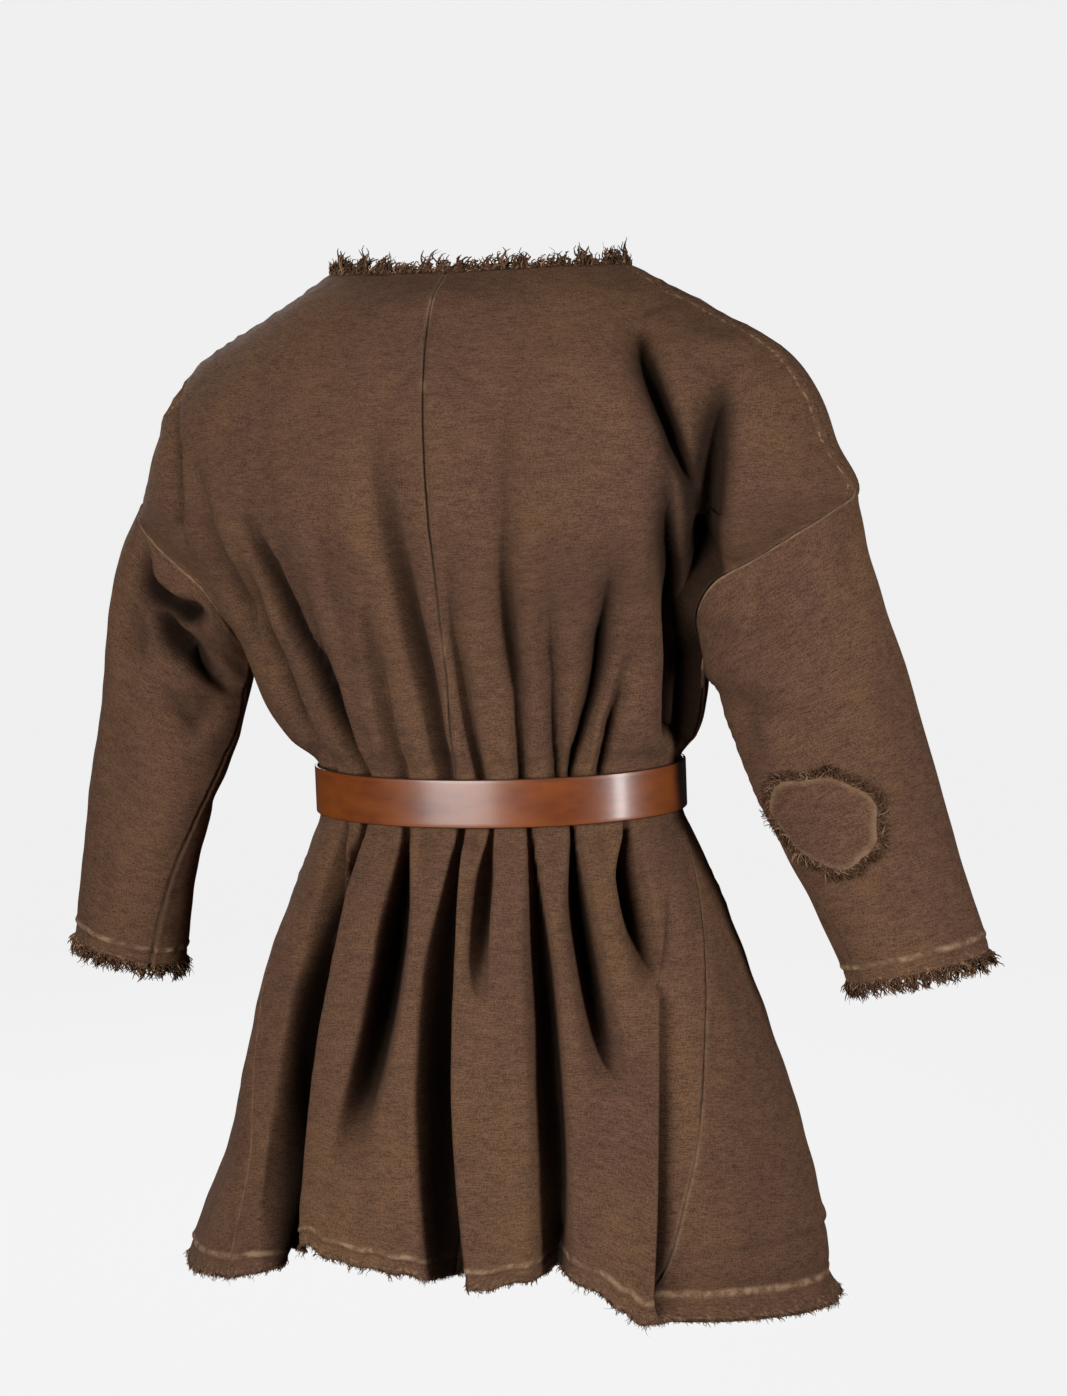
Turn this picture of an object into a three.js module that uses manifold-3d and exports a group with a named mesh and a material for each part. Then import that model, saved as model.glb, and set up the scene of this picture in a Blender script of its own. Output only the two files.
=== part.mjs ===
// A belted tunic of plain cloth with frayed edges, worn, with nobody in it.
// Millimetres, +Z up. The front faces -Y and the wearer's left is +X. The origin is the middle of
// the neck opening, level with the two points where the shoulder seams reach the neck.
import * as THREE from "three";
import Module from "manifold-3d";
import { mergeVertices } from "three/addons/utils/BufferGeometryUtils.js";

const wasm = await Module();
wasm.setup();

// Driving dimensions
const clothThickness = 2;
const seamGap = 0.3;
const backColumns = 24; // across each half of the back
const frontColumns = 18; // across each half of the front
const goreColumns = 8;
const edgeColumn = { back: 0.056, front: 0.083 }; // share of a panel's width in its last column
const armholeSteps = 10; // from the shoulder to the underarm, on the back and again on the front
const sleeveRings = 9;
const stripHeight = { neck: 5, cuff: 4, hem: 5, patch: 3 };
const lockLength = { neck: 18, cuff: 11, hem: 8, patch: 8 };
const beltWidth = 41;
const beltThickness = 3.5;
const beltMiddle = -445;
const waist = { halfWidth: 160, halfDepth: 117 }; // outer face of the cloth under the belt
const patchRadius = 41;
const patchThickness = 1.5;
const patchLift = 0.8;
const patchSides = 28;
const patchRings = [1, 0.72, 0.4]; // shares of the radius
const buckle = { bar: 20, far: -22, barLift: 2.5, farLift: 8.6, wire: 4.5, depth: 4, inside: 43 };
const keeper = { at: 48, width: 12, thickness: 1.6, slack: 0.6 }; // at: from the middle of the front
const strapStart = buckle.bar + 4.5; // how far left of the middle the strap starts at the bar
const tailLength = 130; // past the middle of the front
const strapInner = 0.4; // the strap's height above the cloth
const strapOverlap = beltThickness + 0.6; // how much higher the tail lies
const strapOverKeeper = 2.6; // how far the keeper's foot lifts the strap
const strapOverBar = 0.4; // how far the bar lifts the tail
// The prong's middle line, as x and height above the cloth
const prong = { half: 1.4, width: 3.5, line: [[16.4, 2.2], [11, 3], [4, 9.5], [-5, 12.3], [-26, 13]] };
const slot = { middle: 7, length: 12, height: 30, depth: 6 }; // where the prong goes through

// Rows of the body. Each runs from the centre line round to the side edge of its panel, as a
// smooth curve that leaves the centre line level and reaches the edge at the angle turn.
// Columns: middle y, middle z, start handle, edge x, edge y, edge z, turn, end handle, sway
const backRows = [
  [84, -3, 72, 130, 0, -3, 90, 46, 0], // neck
  [120, -26, 96, 165, 4, -24, 84, 62, -1],
  [141, -56, 118, 214, 7, -51, 76, 70, -2],
  [152, -86, 140, 257, 9, -76, 72, 74, -3],
  [157, -118, 158, 287, 9, -113, 72, 78, 0],
  [158, -150, 168, 304, 6, -157, 72, 80, 2],
  [157, -182, 174, 321, 0, -196, 72, 84, 0], // shoulder point
  [154, -212, 170, 311, 30, -211, 62, 74, 2],
  [150, -240, 160, 286, 50, -229, 50, 64, 5],
  [146, -266, 140, 256, 60, -249, 42, 54, 9],
  [142, -291, 122, 228, 64, -268, 44, 50, 14],
  [136, -315, 112, 212, 48, -297, 70, 50, 17],
  [129, -340, 110, 207, 10, -332, 90, 62, 16], // underarm
  [125, -372, 106, 197, 4, -372, 90, 66, 12],
  [121, -402, 100, 182, 1, -402, 90, 64, 6],
  [117, -424, 88, 160, 0, -424, 90, 64, 0], // top of the belt
];
const frontRows = [
  [-100, -60, 80, 130, 0, -3, 90, 46, 0],
  [-112, -80, 98, 165, 4, -24, 96, 62, -1],
  [-122, -103, 116, 214, 7, -51, 104, 74, -2],
  [-129, -127, 134, 257, 9, -76, 108, 80, -3],
  [-134, -152, 148, 287, 9, -113, 108, 84, 0],
  [-137, -178, 158, 304, 6, -157, 104, 84, 2],
  [-139, -204, 164, 321, 0, -196, 94, 84, 0],
  [-140, -228, 160, 311, -28, -213, 62, 74, 2],
  [-140, -250, 150, 288, -50, -233, 50, 62, 5],
  [-139, -272, 134, 258, -64, -257, 42, 52, 9],
  [-138, -294, 120, 230, -68, -282, 44, 48, 14],
  [-136, -316, 110, 212, -46, -310, 70, 50, 17],
  [-133, -340, 108, 207, 10, -332, 90, 66, 16],
  [-128, -372, 106, 197, 4, -372, 90, 66, 12],
  [-122, -402, 100, 182, 1, -402, 90, 64, 6],
  [-117, -424, 88, 160, 0, -424, 90, 64, 0],
];
// Rows of the skirt, each an ellipse. The gore seam lies seamAngle degrees round from the centre.
// Columns: half width, half depth, seamAngle, back z, seam z, side z, front z, sway
const skirtRows = [
  [160, 117, 90, -466, -466, -466, -466, 0], // foot of the belt
  [170, 124, 86, -490, -492, -492, -490, 0],
  [190, 135, 77, -536, -540, -541, -538, 0],
  [218, 148, 66, -600, -608, -612, -604, 3],
  [244, 162, 56, -670, -684, -692, -678, 3],
  [266, 175, 49, -738, -758, -770, -752, 3],
  [288, 188, 45, -798, -824, -836, -818, 9],
  [296, 195, 43, -828, -860, -876, -850, 15], // hem
];
const shoulderRow = 6;
const underarmRow = 12;
const beltTopRow = backRows.length - 1;
const beltFootRow = backRows.length;
const hemRow = backRows.length + skirtRows.length - 1;
const goreTop = beltFootRow + 0.2;

// Troughs in the cloth, each running down from top z to end z along three x places.
// Columns: top z, end z, top x, middle x, end x, top depth, middle depth, end depth,
// width towards -x, width towards +x
const backFolds = [
  [-466, -590, 111, 128, 158, 9, 14, 0, 11, 17],
  [-466, -850, 83, 136, 182, 10, 38, 46, 18, 27],
  [-466, -850, 48, 66, 112, 10, 34, 32, 15, 25],
  [-466, -850, -6, 10, -10, 12, 46, 40, 22, 44],
  [-466, -600, -31, -25, -24, 8, 12, 0, 10, 12],
  [-466, -850, -63, -88, -98, 10, 34, 28, 18, 28],
  [-466, -680, -97, -116, -136, 10, 24, 0, 14, 19],
  [-466, -600, -135, -146, -160, 8, 12, 0, 11, 13],
  [-520, -850, -168, -186, -190, 0, 12, 20, 13, 12],
  [-205, -424, 160, 134, 83, 5, 18, 12, 14, 25],
  [-285, -424, 188, 172, 125, 4, 13, 9, 13, 16],
  [-180, -424, 14, 18, 26, 2, 7, 9, 22, 24],
  [-345, -424, -12, -18, -25, 2, 9, 11, 11, 13],
  [-300, -424, -52, -56, -58, 2, 9, 11, 12, 15],
  [-320, -424, -94, -91, -87, 2, 9, 11, 11, 13],
  [-280, -424, -164, -146, -116, 4, 14, 11, 16, 14],
  [-330, -424, 66, 60, 50, 2, 8, 10, 11, 13],
  [-70, -300, -170, -204, -196, 4, 15, 9, 16, 26],
  [-100, -250, -146, -186, -190, 2, 8, 5, 13, 15],
];
const frontFolds = [
  [-466, -860, 20, 34, 52, 10, 30, 36, 22, 28],
  [-466, -860, 62, 96, 128, 9, 28, 32, 19, 24],
  [-466, -620, 108, 126, 140, 8, 14, 0, 14, 15],
  [-466, -860, -30, -42, -40, 10, 34, 38, 26, 30],
  [-466, -860, -72, -112, -140, 9, 30, 30, 22, 24],
  [-466, -600, -112, -124, -136, 8, 11, 0, 13, 13],
  [-270, -424, 130, 108, 76, 4, 15, 11, 15, 20],
  [-320, -424, 58, 54, 48, 2, 9, 11, 12, 14],
  [-340, -424, 14, 18, 20, 2, 8, 9, 12, 13],
  [-350, -424, -18, -16, -14, 2, 7, 8, 11, 12],
  [-310, -424, -62, -56, -44, 2, 10, 10, 13, 14],
  [-270, -424, -154, -122, -84, 4, 16, 11, 19, 15],
  [-150, -320, 176, 190, 184, 3, 13, 8, 20, 18],
  [-140, -310, -180, -194, -186, 3, 13, 8, 18, 20],
];
// Rise of the hem above its row, from the centre line to the gore seam. Columns: place, rise
const hemRise = {
  backLeft: [[0, -12], [0.17, 0], [0.3, 8], [0.45, 18], [0.55, 32], [0.72, 26], [0.86, 9], [1, 5]],
  backRight: [[0, -12], [0.16, -9], [0.32, 2], [0.48, 15], [0.62, 8], [0.74, -6], [0.82, -16], [1, -12]],
  frontLeft: [[0, 4], [0.4, -5], [0.7, 8], [1, 5]],
  frontRight: [[0, 4], [0.35, 10], [0.7, -8], [1, -12]],
};

// Rings of a sleeve, from the armhole to the cuff, for the left one. Each is an ellipse.
// Columns: centre x, centre y, centre z, rise of its plane, long half, short half, roll,
// share of ellipse, spin of the underarm seam, shift of both sleeves towards the left
const sleeveRows = [
  [264, -1, -266, 49, 90, 66, 0, 0, 0, 0], // armhole
  [274, -3, -300, 40, 82, 62, -12, 0.45, 0, 9],
  [285, -6, -336, 31, 79, 58, -22, 0.85, -6, 11],
  [296, -9, -376, 24, 79, 54, -30, 1, -14, 12],
  [309, -12, -418, 20, 78, 50, -34, 1, -24, 13],
  [323, -14, -460, 17, 75, 46, -35, 1, -33, 13],
  [337, -16, -504, 14, 70, 45, -35, 1, -42, 11],
  [350, -18, -551, 12, 66, 44, -35, 1, -50, 7],
  [363, -20, -602, 10, 63, 43, -35, 1, -55, 3], // cuff
];
// Troughs across a sleeve. Columns: ring, angle and ring, angle of the two ends, depth, width
const sleeveFolds = [
  [0.7, 150, 2.2, 60, 8, 16],
  [1.6, 175, 3.2, 100, 7, 15],
  [0.8, -150, 2.4, -70, 7, 16],
  [4.6, -160, 4.0, -90, 5, 15],
];
const patchPlace = { ring: 5.05, angle: 128 };
const ringSpacing = 42; // mean length of sleeve between two rings
const sleeveRadius = 62; // mean radius of a sleeve, by which distances round it are counted

const materials = {
  cloth: new THREE.MeshStandardMaterial({ color: 0x624b3c, roughness: 0.95, metalness: 0 }),
  fringe: new THREE.MeshStandardMaterial({ color: 0x4a382d, roughness: 1, metalness: 0 }),
  leather: new THREE.MeshStandardMaterial({ color: 0x8c4b19, roughness: 0.35, metalness: 0 }),
  metal: new THREE.MeshStandardMaterial({ color: 0xb0935a, roughness: 0.3, metalness: 1 }),
};

const radians = THREE.MathUtils.degToRad;
const clamp = THREE.MathUtils.clamp;
const smooth = (t) => THREE.MathUtils.smoothstep(t, 0, 1);
const vector = (x, y, z) => new THREE.Vector3(x, y, z);
const times = (p, k) => p.clone().multiplyScalar(k);
const plus = (p, q, k = 1) => p.clone().addScaledVector(q, k);

// A row at any height, on a smooth curve through the rows of the table above and below it.
function rowAt(rows, height) {
  const i = clamp(Math.floor(height), 0, rows.length - 2);
  const t = height - i;
  const last = rows.length - 1;
  return rows[i].map((_, column) => {
    const value = (k) => {
      if (k < 0) return 2 * rows[0][column] - rows[1][column];
      if (k > last) return 2 * rows[last][column] - rows[last - 1][column];
      return rows[k][column];
    };
    const [a, b, c, d] = [value(i - 1), value(i), value(i + 1), value(i + 2)];
    const slope = (c - a) * t + (2 * a - 5 * b + 4 * c - d) * t * t;
    return 0.5 * (2 * b + slope + (3 * b - a - 3 * c + d) * t * t * t);
  });
}

// The four control points of every row of the back (face 1) or the front (face -1), as numbers.
function controlRows(face) {
  const upper = (face > 0 ? backRows : frontRows).map((row) => {
    const [middleY, middleZ, start, x, y, z, turn, end, sway] = row;
    const along = [Math.cos(radians(turn)) * end, -face * Math.sin(radians(turn)) * end];
    return [middleY, middleZ, start, middleZ, x - along[0], y - along[1], z, x, y, z, sway];
  });
  const skirt = skirtRows.map(([a, b, angle, backZ, seamZ, , frontZ, sway]) => {
    const t = radians(angle);
    const reach = (4 / 3) * Math.tan(t / 4);
    const middleZ = face > 0 ? backZ : frontZ;
    const x = a * Math.sin(t);
    const y = face * b * Math.cos(t);
    const nearX = x - reach * a * Math.cos(t);
    const nearY = y + face * reach * b * Math.sin(t);
    const nearZ = seamZ - reach * (seamZ - middleZ) * 0.6;
    return [face * b, middleZ, reach * a, middleZ, nearX, nearY, nearZ, x, y, seamZ, sway];
  });
  return [...upper, ...skirt];
}
const controls = { 1: controlRows(1), "-1": controlRows(-1) };

function alongTable(table, place) {
  const next = Math.max(1, table.findIndex(([at]) => at >= place));
  const [from, to] = [table[next - 1], table[next]];
  return from[1] + (to[1] - from[1]) * smooth((place - from[0]) / (to[0] - from[0]));
}

// A panel before its folds: across runs 0 to 1 from the centre line to the edge.
function plainPanel(face, side, across, height) {
  const row = rowAt(controls[face], height);
  const [y0, z0, x1, z1, x2, y2, z2, x3, y3, z3, sway] = row;
  const t = across;
  const weights = [(1 - t) ** 3, 3 * t * (1 - t) ** 2, 3 * t * t * (1 - t), t ** 3];
  const mix = (...values) => values.reduce((sum, value, i) => sum + value * weights[i], 0);
  const name = (face > 0 ? "back" : "front") + (side > 0 ? "Left" : "Right");
  const rise = alongTable(hemRise[name], t) * smooth((height - hemRow + 4) / 4);
  return vector(side * mix(0, x1, x2, x3) + sway * t, mix(y0, y0, y2, y3), mix(z0, z1, z2, z3) + rise);
}

// Depth of the troughs at a place. Each fades out past its ends and at its own two widths.
function foldDepth(folds, x, z) {
  let depth = 0;
  for (const [topZ, endZ, topX, middleX, endX, top, middle, end, minus, plusWidth] of folds) {
    const t = clamp((topZ - z) / (topZ - endZ), 0, 1);
    const past = Math.max(z - topZ, endZ - z, 0);
    const curve = (a, b, c) => a * (1 - t) * (1 - 2 * t) + 4 * b * t * (1 - t) + c * t * (2 * t - 1);
    const off = x - curve(topX, middleX, endX);
    const reach = Math.abs(off) / (off < 0 ? minus : plusWidth);
    if (reach < 1.6 && past < 30) {
      depth += Math.max(0, curve(top, middle, end)) * Math.exp(-2 * reach * reach) * (1 - smooth(past / 30));
    }
  }
  return depth;
}

// A panel with its folds, which fade towards the shoulder and side seams and cross the gore seams.
function panelPoint(face, side, across, height) {
  const point = plainPanel(face, side, across, height);
  const depth = foldDepth(face > 0 ? backFolds : frontFolds, point.x, point.z);
  const fade = Math.max(smooth((1 - across) / 0.08), smooth((height - goreTop - 1.3) / 2));
  if (depth * fade === 0) return point;
  const step = 0.01;
  const right = plus(plainPanel(face, side, across + step, height), point, -1);
  const down = plus(plainPanel(face, side, across, height - step), point, -1);
  const outward = right.cross(down).multiplyScalar(-face * side);
  if (across === 0) outward.setX(0);
  return plus(point, outward.normalize(), -depth * fade);
}

// A gore between the two gore seams: across runs 0 to 1 from the back seam to the front seam.
function gorePoint(side, across, height) {
  const [a, b, angle, , seamZ, sideZ, , sway] = rowAt(skirtRows, height - beltFootRow);
  const start = radians(angle);
  const round = (t) => {
    const at = start + (Math.PI - 2 * start) * t;
    const drop = (sideZ - seamZ) * Math.sin(Math.PI * t);
    return vector(side * a * Math.sin(at) + sway, b * Math.cos(at), seamZ + drop);
  };
  const point = round(across);
  point.addScaledVector(plus(panelPoint(1, side, 1, height), round(0), -1), 1 - across);
  point.addScaledVector(plus(panelPoint(-1, side, 1, height), round(1), -1), across);
  const low = smooth((height - beltFootRow - 2) / 5);
  const wave = Math.sin(Math.PI * across) ** 2 * Math.cos(2.6 * Math.PI * (across - 0.5));
  return plus(point, vector(side * wave * low * 8, 0, 0));
}

// A sleeve. Around runs 0 to 1 from the underarm, over the back, the shoulder and the front.
function armholePoint(side, around) {
  const face = around <= 0.5 ? 1 : -1;
  const share = Math.abs(around - 0.5) * 2;
  return panelPoint(face, side, 1, shoulderRow + (underarmRow - shoulderRow) * share);
}
const mirrored = (p, side) => vector(p.x * side, p.y, p.z);
function ringFrame(row) {
  const up = vector(Math.cos(radians(row[3])), 0, Math.sin(radians(row[3])));
  const back = vector(0, 1, 0);
  return { centre: vector(row[0], row[1], row[2]), up, back, out: up.clone().cross(back) };
}
const armholeMiddle = [1, -1].map((side) => {
  const sum = vector(0, 0, 0);
  for (let k = 0; k < 2 * armholeSteps; k++) {
    sum.add(mirrored(armholePoint(side, k / (2 * armholeSteps)), side));
  }
  return times(sum, 1 / (2 * armholeSteps));
});
function plainSleeve(side, around, ring) {
  const middle = armholeMiddle[side > 0 ? 0 : 1];
  const first = ringFrame(sleeveRows[0]);
  const offset = plus(mirrored(armholePoint(side, around), side), middle, -1);
  const row = rowAt(sleeveRows, ring);
  const frame = ringFrame(row);
  const [, , , , long, short, rolled, ellipse, spin, shift] = row;
  const roll = radians(rolled);
  const share = clamp(ellipse, 0, 1);
  const angle = radians(180 - 360 * around + spin) - roll;
  const [l, m] = [long * Math.cos(angle), short * Math.sin(angle)];
  const own = [l * Math.cos(roll) - m * Math.sin(roll), l * Math.sin(roll) + m * Math.cos(roll), 0];
  const held = [offset.dot(first.up), offset.dot(first.back), offset.dot(first.out)];
  const [up, back, out] = own.map((value, k) => value * share + held[k] * (1 - share));
  const centre = plus(frame.centre, plus(middle, first.centre, -1), Math.max(0, 1 - ring / 3));
  const point = plus(plus(plus(centre, frame.up, up), frame.back, back), frame.out, out);
  return vector(point.x * side + shift, point.y, point.z);
}
function sleeveDepth(around, ring) {
  const angle = 180 - 360 * around;
  let depth = 0;
  for (const [ringA, angleA, ringB, angleB, deep, width] of sleeveFolds) {
    const a = [ringA * ringSpacing, radians(angleA) * sleeveRadius];
    const b = [ringB * ringSpacing, radians(angleB) * sleeveRadius];
    const p = [ring * ringSpacing, radians(angle) * sleeveRadius];
    const run = [b[0] - a[0], b[1] - a[1]];
    const t = clamp(((p[0] - a[0]) * run[0] + (p[1] - a[1]) * run[1]) / (run[0] ** 2 + run[1] ** 2), 0, 1);
    const off = Math.hypot(p[0] - a[0] - run[0] * t, p[1] - a[1] - run[1] * t) / width;
    depth += deep * Math.exp(-off * off) * Math.sin(Math.PI * clamp(0.15 + 0.7 * t, 0, 1));
  }
  return depth * smooth(ring / 0.8);
}
function sleevePoint(side, around, ring) {
  const point = plainSleeve(side, around, ring);
  const depth = sleeveDepth(around, ring);
  if (depth === 0) return point;
  const step = 0.004;
  const onward = plus(plainSleeve(side, around + step, ring), plainSleeve(side, around - step, ring), -1);
  const up = plus(plainSleeve(side, around, ring - step), plainSleeve(side, around, ring + step), -1);
  return plus(point, up.cross(onward).normalize(), -depth * side);
}

// Grids of outer points. A grid's rows go down and its columns go across.
const range = (from, to, count) => {
  return Array.from({ length: count + 1 }, (_, i) => from + ((to - from) * i) / count);
};
const bodyHeights = [
  ...range(0, shoulderRow, 5).slice(0, -1),
  ...range(shoulderRow, underarmRow, armholeSteps),
  ...range(underarmRow, beltTopRow, 3).slice(1),
  ...range(beltFootRow, hemRow, hemRow - beltFootRow),
];
const goreHeights = [goreTop, ...range(beltFootRow + 1, hemRow, hemRow - beltFootRow - 1)];
bodyHeights.splice(bodyHeights.indexOf(beltFootRow) + 1, 0, goreTop);

const gridOf = (heights, places, point) => {
  return heights.map((height) => places.map((place) => point(place, height)));
};
const placesAcross = (columns, last) => [...range(0, 1 - last, columns - 1), 1];
function backHalf(side) {
  const places = placesAcross(backColumns, edgeColumn.back);
  return { grid: gridOf(bodyHeights, places, (u, v) => panelPoint(1, side, u, v)), flip: side < 0 };
}
function wholeFront() {
  const half = placesAcross(frontColumns, edgeColumn.front);
  const places = [...half.slice(1).reverse().map((place) => -place), ...half];
  const point = (u, v) => panelPoint(-1, u < 0 ? -1 : 1, Math.abs(u), v);
  return { grid: gridOf(bodyHeights, places, point), flip: true };
}
function gore(side) {
  const grid = gridOf(goreHeights, range(0, 1, goreColumns), (u, v) => gorePoint(side, u, v));
  return { grid, flip: side < 0 };
}
function sleeve(side) {
  const places = range(0, 1, 2 * armholeSteps).slice(0, -1);
  const rings = range(0, sleeveRows.length - 1, sleeveRings);
  const grid = gridOf(rings, places, (u, v) => sleevePoint(side, u, v));
  return { grid, flip: side < 0, closed: true };
}
const pieces = {
  back_left: backHalf(1),
  back_right: backHalf(-1),
  front: wholeFront(),
  gore_left: gore(1),
  gore_right: gore(-1),
  sleeve_left: sleeve(1),
  sleeve_right: sleeve(-1),
};

// Points of different pieces that meet at a seam share one normal, so the cut edges are parallel.
const key = (p) => `${Math.round(p.x * 50)},${Math.round(p.y * 50)},${Math.round(p.z * 50)}`;
const normals = new Map();
function addNormals({ grid, flip, closed }) {
  const columns = grid[0].length;
  for (let i = 0; i + 1 < grid.length; i++) {
    for (let j = 0; j + (closed ? 0 : 1) < columns; j++) {
      const next = (j + 1) % columns;
      const corners = [grid[i][j], grid[i][next], grid[i + 1][next], grid[i + 1][j]];
      const across = plus(corners[2], corners[0], -1);
      const down = plus(corners[3], corners[1], -1);
      const normal = across.cross(down).multiplyScalar(flip ? -1 : 1);
      for (const corner of corners) {
        const sum = normals.get(key(corner)) ?? vector(0, 0, 0);
        normals.set(key(corner), sum.add(normal));
      }
    }
  }
}
Object.values(pieces).forEach(addNormals);
const normalAt = (p) => normals.get(key(p)).clone().normalize();

// Pulls a point of a seam back from the seam by half the gap, along the cloth.
function pulled(point, normal, before, after, inward) {
  const seam = plus(after, before, -1).normalize();
  const away = seam.cross(normal).normalize();
  if (away.dot(plus(inward, point, -1)) < 0) away.negate();
  return plus(point, away, seamGap / 2);
}
function seamed(piece, isSleeve) {
  const { grid, closed } = piece;
  const rows = grid.length;
  const columns = grid[0].length;
  const outer = grid.map((row) => row.map((p) => p.clone()));
  const column = (j) => (closed ? (j + columns) % columns : clamp(j, 0, columns - 1));
  const at = (i, j) => grid[clamp(i, 0, rows - 1)][column(j)];
  for (let i = 0; i < rows; i++) {
    for (let j = 0; j < columns; j++) {
      const p = grid[i][j];
      if (isSleeve && i === 0) {
        outer[i][j] = pulled(p, normalAt(p), at(i, j - 1), at(i, j + 1), at(i + 1, j));
      } else if (!closed && (j === 0 || j === columns - 1)) {
        outer[i][j] = pulled(p, normalAt(p), at(i - 1, j), at(i + 1, j), at(i, j === 0 ? 1 : columns - 2));
      }
    }
  }
  const inner = outer.map((row, i) => row.map((p, j) => plus(p, normalAt(grid[i][j]), -clothThickness)));
  return { outer, inner };
}

// A closed wall between an outer and an inner grid.
function wall({ outer, inner, flip, closed }) {
  const rows = outer.length;
  const columns = outer[0].length;
  const index = [];
  const quad = (a, b, c, d) => index.push(...(flip ? [a, c, b, a, d, c] : [a, b, c, a, c, d]));
  const o = (i, j) => i * columns + (j % columns);
  const n = (i, j) => rows * columns + o(i, j);
  const spans = closed ? columns : columns - 1;
  for (let j = 0; j < spans; j++) {
    for (let i = 0; i + 1 < rows; i++) {
      quad(o(i, j), o(i, j + 1), o(i + 1, j + 1), o(i + 1, j));
      quad(n(i, j), n(i + 1, j), n(i + 1, j + 1), n(i, j + 1));
    }
    quad(o(0, j), n(0, j), n(0, j + 1), o(0, j + 1));
    quad(o(rows - 1, j), o(rows - 1, j + 1), n(rows - 1, j + 1), n(rows - 1, j));
  }
  for (let i = 0; !closed && i + 1 < rows; i++) {
    quad(o(i, 0), o(i + 1, 0), n(i + 1, 0), n(i, 0));
    quad(o(i, spans), n(i, spans), n(i + 1, spans), o(i + 1, spans));
  }
  return geometryOf([...outer.flat(), ...inner.flat()], index);
}
function geometryOf(points, index) {
  const geometry = new THREE.BufferGeometry().setFromPoints(points);
  geometry.setIndex(index);
  geometry.computeVertexNormals();
  return geometry;
}

// A repeatable uneven number from 0 to 1.
const uneven = (seed) => {
  const value = Math.sin(seed * 12.9898 + 4.1) * 43758.5453;
  return value - Math.floor(value);
};

// A frayed edge: a narrow strip along a cloth edge, and pointed locks that grow from it.
// Each station has the edge's outer point, the way out of the cloth and the normal. The locks turn
// upwards by the share rise.
function frayed(stations, { height, thickness, lock, every = 1, spread = 0.3, rise = 0, seed = 1 }) {
  const count = stations.length;
  const gap = seamGap + 0.05;
  const points = [];
  for (const { point, out, normal } of stations) {
    const root = plus(point, out, gap);
    const top = plus(root, out, height);
    points.push(root, top, plus(top, normal, -thickness), plus(root, normal, -thickness));
  }
  const index = [];
  const corner = (k, c) => (k % count) * 4 + c;
  const [first, second] = stations;
  const flip = plus(second.point, first.point, -1).cross(first.out).dot(first.normal) < 0;
  const face = (...c) => {
    const ring = flip ? c.reverse() : c;
    for (let t = 1; t + 1 < ring.length; t++) index.push(ring[0], ring[t], ring[t + 1]);
  };
  for (let k = 0; k < count; k++) {
    face(corner(k, 0), corner(k + 1, 0), corner(k + 1, 1), corner(k, 1));
    face(corner(k, 2), corner(k + 1, 2), corner(k + 1, 3), corner(k, 3));
    face(corner(k, 3), corner(k + 1, 3), corner(k + 1, 0), corner(k, 0));
    const root = [corner(k, 1), corner(k + 1, 1), corner(k + 1, 2), corner(k, 2)];
    if (k % every) {
      face(...root);
      continue;
    }
    const middle = root.reduce((sum, c) => sum.add(points[c]), vector(0, 0, 0)).multiplyScalar(0.25);
    const along = plus(points[root[1]], points[root[0]], -1);
    const { out, normal } = stations[k];
    const way = plus(out, vector(0, 0, 1), rise).normalize();
    const tip = plus(middle, way, lock * (0.65 + 0.35 * uneven(k + seed)));
    tip.addScaledVector(along, 0.6 * (uneven(k * 3 + seed) - 0.5));
    tip.addScaledVector(normal, lock * spread * (uneven(k * 7 + seed) - 0.5));
    points.push(tip);
    root.forEach((c, i) => face(c, root[(i + 1) % 4], points.length - 1));
  }
  return geometryOf(points, index);
}

// Stations along an edge of a grid, from its points and the row of points next to them.
function edgeStations(edge, beside) {
  return edge.map((point, i) => {
    const normal = normalAt(point);
    const out = plus(point, beside[i], -1);
    out.addScaledVector(normal, -out.dot(normal)).normalize();
    return { point, out, normal };
  });
}
// The ring of the neck or the hem, from the centre back round the left side and back again.
function bodyRing(row, next) {
  const { back_left: left, back_right: right, front, gore_left: goreLeft, gore_right: goreRight } = pieces;
  const edge = (grid) => [grid.at(row), grid.at(next)];
  const reversed = (pair) => pair.map((line) => [...line].reverse());
  const parts = [edge(left.grid)];
  if (row !== 0) parts.push(edge(goreLeft.grid));
  parts.push(reversed(edge(front.grid)));
  if (row !== 0) parts.push(reversed(edge(goreRight.grid)));
  parts.push(reversed(edge(right.grid)));
  return parts.flatMap(([line, beside]) => edgeStations(line.slice(0, -1), beside.slice(0, -1)));
}
// Twice as many stations, with one halfway between each two.
function doubled(stations) {
  return stations.flatMap((station, i) => {
    const after = stations[(i + 1) % stations.length];
    const between = {
      point: times(plus(station.point, after.point), 0.5),
      out: plus(station.out, after.out).normalize(),
      normal: plus(station.normal, after.normal).normalize(),
    };
    return [station, between];
  });
}
function cuffStations(side) {
  const { grid } = pieces[side > 0 ? "sleeve_left" : "sleeve_right"];
  return doubled(edgeStations(grid.at(-1), grid.at(-2)));
}

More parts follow.
